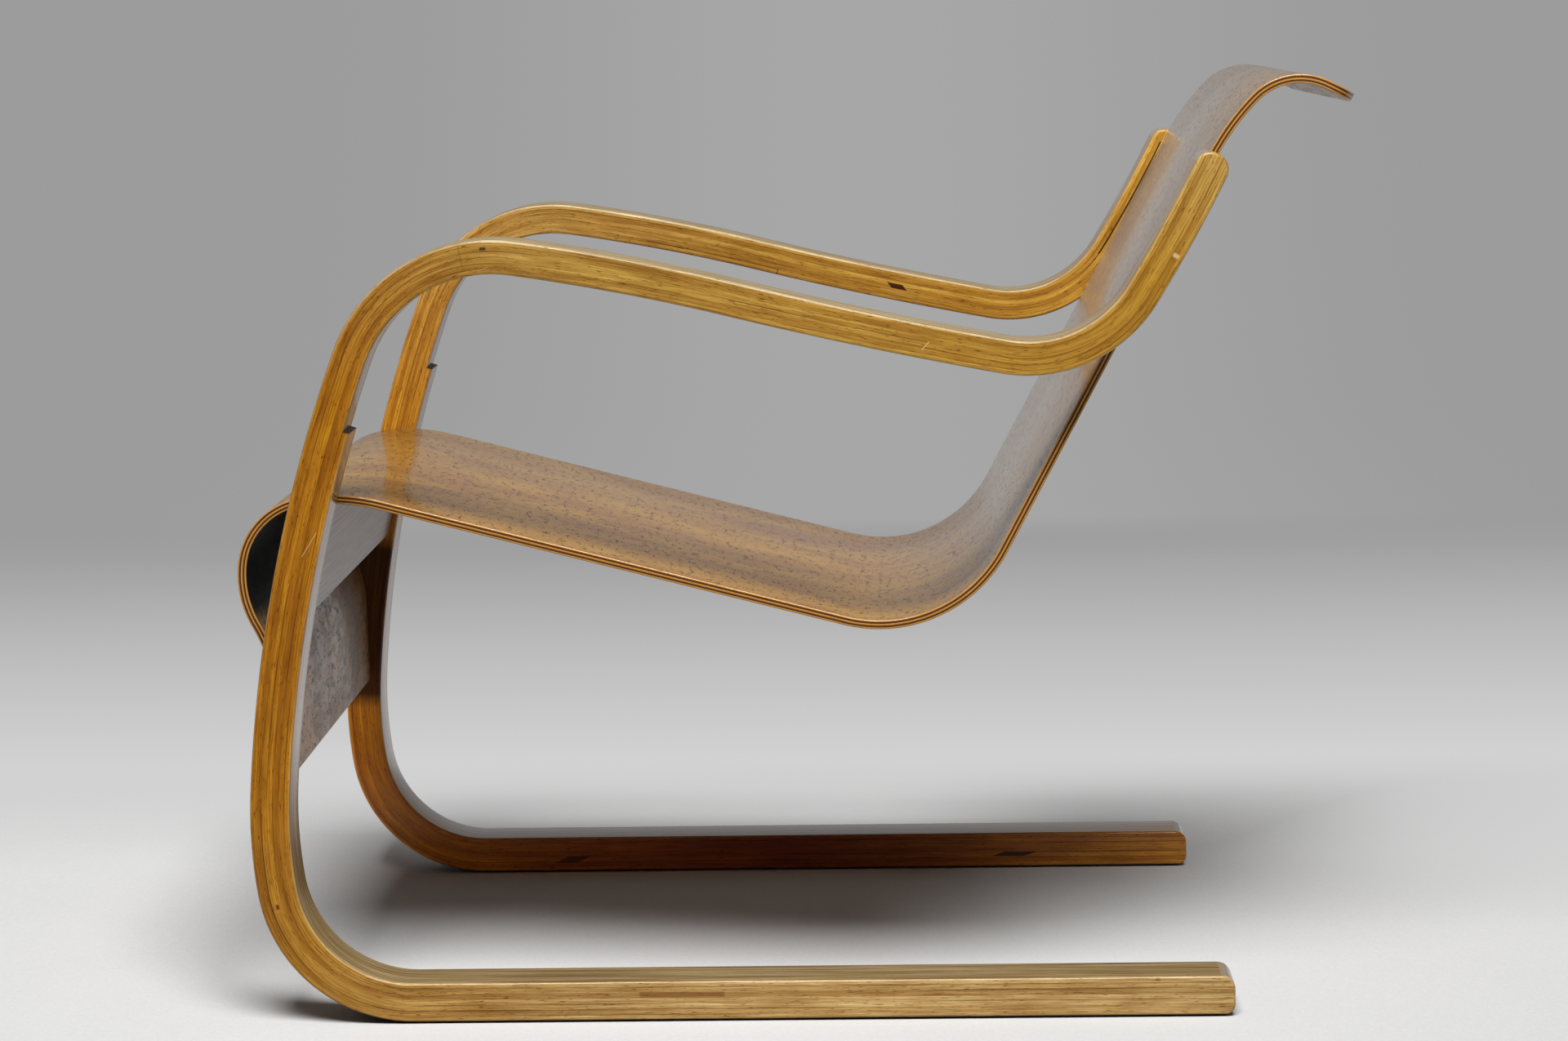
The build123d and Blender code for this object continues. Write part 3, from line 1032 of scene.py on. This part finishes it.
@dataclass
class LaminatedFrame:
    """One bent frame: six laminae from runner to post, and one more behind the leg."""

    side: Side
    laminate: bpy.types.Material
    end_grain: bpy.types.Material
    width: float = 50.0
    centre_x: float = 277.5
    lamina: float = 4.4
    lamina_count: int = 6
    edge_radius: float = 2.5
    heel_radius: float = 8.0
    toe_radius: float = 11.0
    crown_front_radius: float = 11.8
    crown_rear_radius: float = 13.4
    runs_below_arm_bend: int = 4
    notch_below_arm_bend: float = 56.0
    station_spacing: float = 9.0
    bend_step: float = 2.5
    end_steps: tuple[float, ...] = (
        0.0, 0.1, 0.35, 0.75, 1.3, 1.9, 2.6, 4.0, 6.5, 10.0, 15.0, 22.0)
    notch_step: float = 0.02
    notch_room: float = 1.0
    layer_rows: int = 4
    closest_rows: float = 0.04
    edge_step: int = 15
    course: Course = Course((336.35, 0.0), 180.0, (
        Run(636.6), arc(120.6, -81.67), arc(376.2, -12.41), arc(1208.5, -16.46),
        arc(130.2, -78.07), arc(1700.8, -5.74), arc(3508.0, 3.45), arc(88.1, 69.12),
        arc(1140.8, 5.93)))

    @property
    def notch(self) -> float:
        """Distance at which the leg's seventh lamina stops."""
        return self.course.joints()[self.runs_below_arm_bend - 1] - self.notch_below_arm_bend

    def thickness(self, distance: float) -> float:
        """Thickness of the strip, which is one lamina more below the notch."""
        extra = 1 if distance < self.notch else 0
        return (self.lamina_count + extra) * self.lamina

    def ends(self, depth: float) -> Pair:
        """Distances at which the rounded runner end and post crown lie at a depth."""
        leg, post = self.thickness(0.0), self.thickness(self.course.length())
        first = drawn_in(depth, self.heel_radius) + drawn_in(leg - depth, self.toe_radius)
        last = drawn_in(depth, self.crown_front_radius)
        last += drawn_in(post - depth, self.crown_rear_radius)
        return first, self.course.length() - last

    def leg_ends(self, depth: float) -> Pair:
        """Distances at which the leg's seventh lamina begins and stops."""
        return self.ends(depth)[0], self.notch

    def half_width(self, distance: float, depth: float) -> float:
        """Half of the strip's width, less what its rounded edges take off.

        Args:
            distance: Distance along the course.
            depth: Depth in the strip.

        Returns:
            Half of the width at that place.
        """
        behind = self.thickness(distance) - depth
        left = self.course.length() - distance
        if distance < left:
            room = min(corner_room(distance, depth, self.heel_radius),
                       corner_room(distance, behind, self.toe_radius))
        else:
            room = min(corner_room(left, depth, self.crown_front_radius),
                       corner_room(left, behind, self.crown_rear_radius))
        return self.width / 2 - drawn_in(min(depth, behind, room), self.edge_radius)

    def leg_half_width(self, distance: float, depth: float) -> float:
        """Half of the leg lamina's width, which keeps its full thickness to the notch."""
        return self.half_width(min(distance, self.notch - self.notch_room), depth)

    def rows(self, number: int) -> list[float]:
        """Depths of a lamina's rows, closer together where an edge is rounded.

        Args:
            number: Number of the lamina, from 0 at the face that shows.

        Returns:
            Depths from the lamina's outer face to its inner one.
        """
        near, far = number * self.lamina, (number + 1) * self.lamina
        found = {near + self.lamina * k / self.layer_rows for k in range(self.layer_rows + 1)}
        for count in (0, self.lamina_count, self.lamina_count + 1):
            face = count * self.lamina
            for step in easing_steps(self.edge_radius, self.edge_step):
                found |= {depth for depth in (face + step, face - step) if near <= depth <= far}
        ordered = sorted(found)
        kept = [ordered[0]]
        for depth in ordered[1:]:
            if depth - kept[-1] > self.closest_rows:
                kept.append(depth)
        kept[-1] = far
        return kept

    def stations(self, last: float) -> list[float]:
        """Distances of the cross-sections up to a last one.

        Args:
            last: Distance at which the lamina stops.

        Returns:
            Distances, closer together at both ends and at the notch.
        """
        near, notch = self.end_steps[-1], self.notch
        found = set(self.course.stations(self.station_spacing, self.bend_step))
        found = {value for value in found if near < value < last - near}
        found |= set(self.end_steps) | {last - value for value in self.end_steps}
        if last > notch:
            found = {value for value in found if abs(value - notch) > self.notch_room}
            found |= {notch - self.notch_step, notch + self.notch_step}
        return sorted(found)

    def build(self) -> list[bpy.types.Object]:
        """Build the frame's seven laminae.

        Returns:
            The new objects, from the face that shows to the back of the leg.
        """
        side = self.side.name.lower()
        shift = 0.0 if self.side is Side.LEFT else RIGHT_FRAME_SHIFT
        pieces = []
        for number in range(self.lamina_count + 1):
            leg = number == self.lamina_count
            sweep = Sweep(
                course=self.course,
                rows=self.rows(number),
                stations=self.stations(self.notch if leg else self.course.length()),
                ends=self.leg_ends if leg else self.ends,
                half_width=self.leg_half_width if leg else self.half_width,
                centre_x=self.side.value * self.centre_x,
                distance_shift=shift,
            )
            node = f"{side}_leg_lamina" if leg else f"{side}_frame_lamina_{number + 1}"
            name = f"{side}_leg_strip" if leg else f"{side}_bent_strip_{number + 1}"
            pieces.append(dress(name, sweep.mesh(name), node,
                                [self.laminate, self.end_grain]))
        return pieces


# ---- Shell ---------------------------------------------------------------------------
@dataclass
class MouldedShell:
    """Seat and back in one moulded sheet: a core of three plies between two veneers."""

    seat_face: bpy.types.Material
    back_face: bpy.types.Material
    ply_edge: bpy.types.Material
    width: float = 503.0
    veneer: float = 1.4
    core: float = 4.2
    edge_radius: float = 0.9
    head_corner: float = 22.0
    tail_corner: float = 12.0
    station_spacing: float = 12.0
    bend_step: float = 2.0
    edge_step: int = 18
    corner_step: int = 6
    beyond_corner: Triple = (0.33, 0.66, 1.0)
    course: Course = Course((435.149, 704.535), 149.59, (
        arc(249.7, 5.85), arc(51.5, 69.94), arc(193.5, 16.32), Run(343.058),
        arc(105.9, -76.47), Run(373.292), arc(153.9, 23.57), arc(59.2, 73.07),
        arc(81.8, 37.2), arc(124.7, -28.18), Run(66.0)))

    @property
    def thickness(self) -> float:
        """Thickness of the whole sheet."""
        return self.core + 2 * self.veneer

    def eased(self, depth: float) -> float:
        """How far the sanded edge falls back at a depth, which is below 0 in the shell."""
        return drawn_in(min(-depth, self.thickness + depth), self.edge_radius)

    def ends(self, depth: float) -> Pair:
        """Distances of the head's lip and the tail's lower edge at a depth."""
        return self.eased(depth), self.course.length() - self.eased(depth)

    def half_width(self, distance: float, depth: float) -> float:
        """Half of the shell's width, drawn in round its four corners.

        Args:
            distance: Distance along the course.
            depth: Depth in the shell.

        Returns:
            Half of the width at that place.
        """
        ease = self.eased(depth)
        low, high = self.ends(depth)
        if distance < self.course.length() / 2:
            room, radius = distance - low, self.head_corner - ease
        else:
            room, radius = high - distance, self.tail_corner - ease
        return self.width / 2 - ease - drawn_in(room, radius)

    def rows(self, near: float, far: float) -> list[float]:
        """Depths of a layer's rows, closer together at the sanded edge.

        Args:
            near: Distance of the layer's upper side from the sitting face.
            far: Distance of its lower side.

        Returns:
            Depths from far to near, all 0 or below.
        """
        found = {near, far}
        for step in easing_steps(self.edge_radius, self.edge_step):
            found |= {depth for depth in (step, self.thickness - step) if near < depth < far}
        return [-depth for depth in sorted(found, reverse=True)]

    def stations(self) -> list[float]:
        """Distances of the cross-sections, closer together at the rounded corners."""
        length = self.course.length()
        found = set(self.course.stations(self.station_spacing, self.bend_step))
        found = {value for value in found if END_ZONE < value < length - END_ZONE}
        for radius, sign, base in ((self.head_corner, 1, 0.0), (self.tail_corner, -1, length)):
            beyond = [radius + (END_ZONE - radius) * share for share in self.beyond_corner]
            corner = easing_steps(radius, self.corner_step)
            found |= {base + sign * value for value in corner + beyond}
        return sorted(found)

    def build(self) -> list[bpy.types.Object]:
        """Build the shell's two veneers and its core.

        Returns:
            The new objects, from the sitting face to the back.
        """
        top, bottom = self.veneer, self.veneer + self.core
        pieces = []
        for name, node, slot, near, far, face in (
            ("shell_seat_sheet", "seat_veneer", "face_veneer", 0.0, top, self.seat_face),
            ("shell_core_sheet", "shell_core", "core_birch", top, bottom, self.ply_edge),
            ("shell_back_sheet", "back_veneer", "face_veneer", bottom, self.thickness,
             self.back_face),
        ):
            sweep = Sweep(
                course=self.course,
                rows=self.rows(near, far),
                stations=self.stations(),
                ends=self.ends,
                half_width=self.half_width,
                sides=Zone.EDGE,
            )
            pieces.append(dress(name, sweep.mesh(name), node, [face, self.ply_edge]))
        return pieces


# ---- Rails, cleat and screws ---------------------------------------------------------
@dataclass
class JoinedBoards:
    """The rails and cleat between the frames, with their screws, on their own solids."""

    birch: bpy.types.Material
    brass: bpy.types.Material
    eased_edge: float = 0.8
    eased_from: float = 40.0
    eased_segments: int = 2
    boards: tuple[str, ...] = ("front_rail", "back_rail", "seat_cleat")
    screws: tuple[str, ...] = ("seat_screws", "back_screws")

    def build(self) -> None:
        """Give the boards eased edges and lacquer, and the screws plain brass."""
        for name in self.boards + self.screws:
            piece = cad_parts[name]
            finish = self.birch if name in self.boards else self.brass
            piece.data.materials.clear()
            piece.data.materials.append(finish)
            if name in self.boards:
                ease = piece.modifiers.new("eased_edges", "BEVEL")
                ease.width = self.eased_edge * MM
                ease.segments = self.eased_segments
                ease.limit_method = "ANGLE"
                ease.angle_limit = radians(self.eased_from)
            log.info("%s: own solid, finish %s", name, finish.name)


# ---- Studio --------------------------------------------------------------------------
@dataclass
class Studio:
    """Pale floor that sweeps up to a grey wall, one soft overhead lamp and the world.

    The floor is lit as painted board round the chair. Further off, the lens and the
    lacquer's gloss see a grey of its own, as evenly lit as the wall of a deep studio.
    Its sizes are metres. Towards the viewer is +X, and the chair's back is +Y.
    """

    floor_drop: float = 0.0015
    floor_reach: float = 4.2
    wall_height: float = 4.0
    sweep_radius: float = 1.2
    sweep_step: int = 6
    half_width: float = 7.0
    level_rows: tuple[float, ...] = (6.0, 1.5, 0.0, -1.5)
    # Painted board near the chair. Its tones towards the viewer and towards the chair's back
    # are painted light and shade, which set how bright the lamp leaves it. Its grit is in
    # millimetres.
    board_reach: Pair = (-4.0, 1.0)
    board_tones: Stops = (
        (0.00, "CCCCCC"), (0.24, "CCCCCC"), (0.60, "DCDCDC"), (0.74, "E2E2E2"),
        (0.80, "DCDCDC"), (0.88, "D2D2D2"), (1.00, "CACACA"))
    mottle_per_metre: float = 2.2
    mottle_spread: float = 0.02
    grit: float = 2.5
    grit_spread: float = 0.035
    back_reach: Pair = (-0.1, 0.8)
    back_tones: Pair = (1.0, 0.92)
    # Grey of the wall and of the far floor.
    wall_grey: str = "9C9C9C"
    wall_middle_grey: str = "A7A7A7"
    wall_middle: float = 1.2
    far_reach: Pair = (-2.8, -0.8)
    far_tones: Stops = (
        (0.00, "9B9B9B"), (0.18, "A0A0A0"), (0.36, "ABABAB"), (0.50, "B4B4B4"),
        (0.64, "BDBDBD"), (0.78, "C5C5C5"), (1.00, "D2D2D2"))
    wall_share: float = 0.12
    # Where the far grey takes over: well behind, and to the side beyond the chair, where it
    # paints light over the far part of the chair's shadow.
    away_reach: Pair = (-0.26, -0.85)
    aside_reach: Pair = (0.32, 0.62)
    aside_share: float = 0.75
    beyond_reach: Pair = (0.1, -0.35)
    # Room behind the viewer, world and lamp.
    unlit_room: str = "101010"
    unlit_reach: float = 0.35
    world_grey: str = "A0A0A0"
    world_fill: float = 0.06
    lamp_off_vertical: float = 34.0
    lamp_distance: float = 4.2
    lamp_size: Pair = (2.3, 1.9)
    lamp_to_back: float = 0.1
    lamp_power: float = 266.0
    lamp_aim: Triple = (0.0, 0.0, 0.35)

    def build(self) -> None:
        """Build the floor, the lamp and the world."""
        self.build_floor()
        self.build_lamp()
        self.build_world()
        log.info("studio: floor, lamp and world")

    def build_floor(self) -> None:
        """Build the floor and wall as one swept sheet with a painted finish.

        The sheet lies a little below the soles, so that each runner has the dark line
        under it that a sole which isn't quite flat gives.
        """
        profile = [(x, 0.0) for x in self.level_rows]
        for angle in range(0, 91, self.sweep_step):
            turn = radians(angle)
            profile.append((-self.floor_reach - self.sweep_radius * sin(turn),
                            self.sweep_radius * (1 - cos(turn))))
        profile.append((-self.floor_reach - self.sweep_radius, self.wall_height))
        points = [(x, y, z - self.floor_drop)
                  for x, z in profile for y in (-self.half_width, self.half_width)]
        faces = [(start, start + 2, start + 3, start + 1)
                 for start in range(0, len(points) - 2, 2)]
        mesh = bpy.data.meshes.new("studio_floor")
        mesh.from_pydata(points, [], faces)
        mesh.polygons.foreach_set("use_smooth", [True] * len(faces))
        mesh.materials.append(self.painted_floor())
        floor = link_to_scene(bpy.data.objects.new("studio_floor", mesh))

    def painted_floor(self) -> bpy.types.Material:
        """Matt painted board, white near the chair and grey towards the wall.

        Returns:
            The material, which reads the place on the floor.
        """
        material = bpy.data.materials.new("Matt_Painted_Board")
        add = empty_tree(material)
        place = add("TexCoord").node.outputs["Object"]
        to_viewer, to_back, _ = add("SeparateXYZ", place).node.outputs
        matt = add("BsdfDiffuse", self.lit_tone(add, place, to_viewer, to_back))
        far = add("Emission", self.far_tone(add, to_viewer, to_back), 1.0)

        rays = add("LightPath").node.outputs
        seen = add("Math", rays["Is Camera Ray"], rays["Is Glossy Ray"], operation="MAXIMUM")
        seen = add("Math", seen, rays["Is Transmission Ray"], operation="MAXIMUM")
        shown = add("Math", seen, self.far_share(add, to_viewer, to_back), operation="MULTIPLY")
        floor = add("MixShader", shown, matt, far)

        # The room behind the viewer is unlit, and the gloss shows it.
        behind = add("MapRange", to_viewer, 0.0, self.unlit_reach)
        unlit = add("Math", behind, rays["Is Glossy Ray"], operation="MULTIPLY")
        dark = add("Emission", linear(self.unlit_room), 1.0)
        add("OutputMaterial", add("MixShader", unlit, floor, dark))
        return material

    def lit_tone(self, add: Adder, place: Socket, to_viewer: Socket, to_back: Socket) -> Socket:
        """Colour of the painted board near the chair, with painted light and shade, a faint mottle
        and grit.

        Args:
            add: Adds a node.
            place: Place on the floor.
            to_viewer: How far the place lies towards the viewer.
            to_back: How far it lies towards the chair's back.

        Returns:
            The colour that the lamp lights.
        """
        # Painted light and shade: the board's tone rises and falls towards the viewer.
        share = add("MapRange", to_viewer, *self.board_reach)
        colour = add("ValToRGB", share, stops=self.board_tones)
        mottle = add("TexNoise", named={
            "Vector": place, "Scale": self.mottle_per_metre, "Detail": 4.0})
        grit = add("TexNoise", named={
            "Vector": place, "Scale": per_metre(self.grit), "Detail": 2.0})
        tones = [add("MapRange", value, *NOISE_RANGE, 1 - spread, 1 + spread)
                 for value, spread in ((mottle, self.mottle_spread), (grit, self.grit_spread))]
        # Painted shade: the board is darker towards the chair's back.
        tones.append(add("MapRange", to_back, *self.back_reach, *self.back_tones,
                         interpolation_type="SMOOTHSTEP"))
        for tone in tones:
            colour = add("VectorMath", colour, named={"Scale": tone}, operation="SCALE")
        return colour

    def far_tone(self, add: Adder, to_viewer: Socket, to_back: Socket) -> Socket:
        """Grey of the far floor and of the wall, which is palest in its middle.

        Args:
            add: Adds a node.
            to_viewer: How far a place lies towards the viewer.
            to_back: How far it lies towards the chair's back.

        Returns:
            The colour that the lens and the gloss see.
        """
        off_middle = add("Math", to_back, operation="ABSOLUTE")
        to_side = add("MapRange", off_middle, 0.0, self.wall_middle,
                      interpolation_type="SMOOTHSTEP")
        wall = add("Mix", named={
            "Factor": to_side, "A": linear(self.wall_middle_grey), "B": linear(self.wall_grey),
        }, data_type="RGBA")
        nearness = add("MapRange", to_viewer, *self.far_reach)
        floor = add("ValToRGB", nearness, stops=self.far_tones)
        on_floor = add("MapRange", nearness, 0.0, self.wall_share)
        return add("Mix", named={"Factor": on_floor, "A": wall, "B": floor}, data_type="RGBA")

    def far_share(self, add: Adder, to_viewer: Socket, to_back: Socket) -> Socket:
        """How much of the far grey shows, and how little of the lamp's own light.

        Args:
            add: Adds a node.
            to_viewer: How far a place lies towards the viewer.
            to_back: How far it lies towards the chair's back.

        Returns:
            0 round the chair and its shadow, and 1 far beyond it.
        """
        away, aside, beyond = (
            add("MapRange", value, *reach, interpolation_type="SMOOTHSTEP")
            for value, reach in (
                (to_viewer, self.away_reach),
                (to_back, (*self.aside_reach, 0.0, self.aside_share)),
                (to_viewer, self.beyond_reach)))
        # The far grey paints light over the shadow of the chair's back, to the side.
        aside = add("Math", aside, beyond, operation="MULTIPLY")
        return add("Math", away, aside, operation="MAXIMUM")

    def build_lamp(self) -> None:
        """Hang the soft lamp on the viewer's side of the chair, aimed at the seat."""
        lamp = bpy.data.lights.new("soft_overhead_lamp", "AREA")
        lamp.shape = "RECTANGLE"
        lamp.size, lamp.size_y = self.lamp_size
        lamp.energy = self.lamp_power
        holder = link_to_scene(bpy.data.objects.new("soft_overhead_lamp", lamp))
        tilt = radians(self.lamp_off_vertical)
        away = Vector((sin(tilt), self.lamp_to_back / self.lamp_distance, cos(tilt)))
        away.normalize()
        holder.location = Vector(self.lamp_aim) + away * self.lamp_distance
        holder.rotation_euler = away.to_track_quat("Z", "Y").to_euler()

    def build_world(self) -> None:
        """Fill the shadows a little, and show a grey room to the lens."""
        world = bpy.data.worlds.new("grey_room")
        add = empty_tree(world)
        seen = add("LightPath").node.outputs["Is Camera Ray"]
        fill = add("Background", (1.0, 1.0, 1.0, 1.0), self.world_fill)
        room = add("Background", linear(self.world_grey), 1.0)
        add("OutputWorld", add("MixShader", seen, fill, room))
        bpy.context.scene.world = world


@dataclass
class ViewCamera:
    """The camera at the photograph's viewing angle, solved from the frames' outlines.

    Its place is in metres, its lens and sensor in millimetres, its angles in radians.
    """

    place: Triple = (3.392192, 0.09088, 0.779605)
    lens: float = 93.751
    sensor: float = 36.0
    clip_end: float = 50.0
    yaw: float = 0.0314305
    pitch: float = 0.1255396
    roll: float = -0.0170072

    def build(self) -> None:
        """Build the camera and make it the scene's own."""
        data = bpy.data.cameras.new("view_camera")
        data.lens = self.lens
        data.sensor_width = self.sensor
        data.sensor_fit = "HORIZONTAL"
        data.clip_end = self.clip_end
        camera = link_to_scene(bpy.data.objects.new("view_camera", data))
        ahead = Vector((-cos(self.pitch) * cos(self.yaw), -cos(self.pitch) * sin(self.yaw),
                        -sin(self.pitch)))
        right = Vector((-sin(self.yaw), cos(self.yaw), 0.0))
        up = right.cross(ahead)
        level_right = right * cos(self.roll) + up * sin(self.roll)
        level_up = up * cos(self.roll) - right * sin(self.roll)
        turn = Matrix((level_right, level_up, -ahead)).transposed()
        camera.matrix_world = Matrix.Translation(self.place) @ turn.to_4x4()
        bpy.context.scene.camera = camera


# ---- Making --------------------------------------------------------------------------
def report_fit(pieces: list[bpy.types.Object], node_names: list[str]) -> None:
    """Report how far each piece's box lies from the box of the node it stands for.

    Args:
        pieces: Dressed pieces.
        node_names: Node of each piece, in the same order.
    """
    for piece, node in zip(pieces, node_names):
        low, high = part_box(node)
        points = [vertex.co for vertex in piece.data.vertices]
        own_low = [min(point[axis] for point in points) for axis in range(3)]
        own_high = [max(point[axis] for point in points) for axis in range(3)]
        gaps = [abs(a - b) for a, b in zip(own_low + own_high, list(low) + list(high))]
        log.info("%s lies within %.2f mm of %s", piece.name, max(gaps) / MM, node)


def frame_marks() -> tuple[Mark, ...]:
    """Repairs and scars that the years have left on the sides of the two frames, and painted shade
    on the right one.
    """
    right, left = partial(Mark, on_right=True), Mark
    return (
        # Right frame: a let-in patch and an open glue line on the arm, and two knots low down.
        # Painted shade darkens the leg where the seat and the rail shade it, and a painted
        # shadow line runs where the shell's edge meets the post.
        right(1712.6, 13.8, 14.0, 4.4, slant=-1.2, tone="2C0A06", strength=0.95),
        right(1545.0, 21.2, 120.0, 0.7, tone="4A2810"),
        right(1606.0, 23.2, 0.9, 6.0),
        right(156.0, 11.6, 30.0, 4.0, slant=3.0, tone="1A0804", strength=0.9),
        right(558.0, 10.4, 20.0, 6.0, slant=2.0, tone="3A1208", soft=1.5),
        # Painted shade on the leg, under the seat and the rail.
        right(940.0, 15.4, 150.0, 46.0, tone="280A02", strength=0.88, soft=14.0),
        right(1895.0, 16.8, 5.0, 8.0, tone="7A3814", strength=0.6, soft=1.0),
        # Painted shadow line where the shell's edge meets the post.
        right(1952.0, 8.6, 112.0, 1.5, tone="1A0C06", strength=0.9, soft=0.6),
        # Left frame: the arm's butt joint, a dent, scratches and a stain on the runner.
        left(1371.0, 12.0, 0.7, 20.0, tone="5A3812", strength=0.55),
        left(1390.0, 6.8, 5.0, 2.2, tone="2A1608", strength=0.85, soft=1.0),
        left(1389.0, 22.0, 0.7, 2.5, slant=4.0, tone="D8BC86", strength=0.7),
        left(794.0, 13.0, 4.5, 2.6, tone="5A1608", strength=0.85, soft=1.0),
        left(428.0, 20.2, 66.0, 4.2, tone="6E4018", strength=0.6, soft=1.2),
        left(1939.0, 20.0, 3.0, 5.0, tone="D8C08C", strength=0.6, soft=1.2),
        left(1736.0, 16.0, 0.7, 7.0, slant=0.6, tone="DCC48E", strength=0.7),
        left(1089.0, 22.2, 1.0, 7.0, slant=-3.0, tone="E0CC98", strength=0.7),
    )


def main() -> None:
    """Build the camera, the finishes, the chair's sub-assemblies and the studio."""
    logging.basicConfig(level=logging.INFO, format="%(name)s: %(message)s")
    bpy.context.scene.view_settings.view_transform = "Standard"
    ViewCamera().build()

    laminate = LacqueredLaminate("Lacquered_Laminated_Birch", marks=frame_marks()).build()
    end_grain = LaminateEndGrain("Lacquered_Birch_End_Grain").build()
    seat_face = LacqueredCurlyVeneer("Lacquered_Curly_Birch_Veneer").build()
    # The veneer on the back is browner and more strongly flecked, with painted shade in the
    # scroll.
    back_face = LacqueredCurlyVeneer(
        "Lacquered_Curly_Birch_Back_Veneer",
        flecks=(4.5, 4.5, 12.0),
        fleck_line=(0.055, 0.02),
        fleck_reach=(0.44, 0.52),
        fleck_dull=0.1,
        mottle_coat=0.4,
        tones=((0.30, "58402A"), (0.45, "6C4E30"), (0.58, "7C5A36"), (0.74, "8C683C")),
        gloss_zone=(1210.0, 1310.0),
        gloss_ends=(0.85, 0.30),
        # Painted light: the tail, which lies in shade, gets a paler tone than the rest of the
        # back.
        tone_ends=(1.9, 2.4),
        haze_ends=(0.14, 0.14),
        dust_and_sheen_ends=(0.0, 0.0),
        # Painted shade inside the scroll.
        painted_shade_zone=(1035.0, 1180.0),
    ).build()
    ply_edge = LacqueredPlyEdge("Lacquered_Birch_Ply_Edge").build()
    solid_birch = LacqueredSolidBirch("Lacquered_Solid_Birch").build()
    brass = TurnedBrass("Turned_Brass").build()

    for side in Side:
        strips = LaminatedFrame(side, laminate, end_grain).build()
        name = side.name.lower()
        nodes = [f"{name}_frame_lamina_{number}" for number in range(1, 7)]
        report_fit(strips, nodes + [f"{name}_leg_lamina"])
    sheets = MouldedShell(seat_face, back_face, ply_edge).build()
    report_fit(sheets, ["seat_veneer", "shell_core", "back_veneer"])
    JoinedBoards(solid_birch, brass).build()
    Studio().build()


if __name__ == "__main__":
    main()
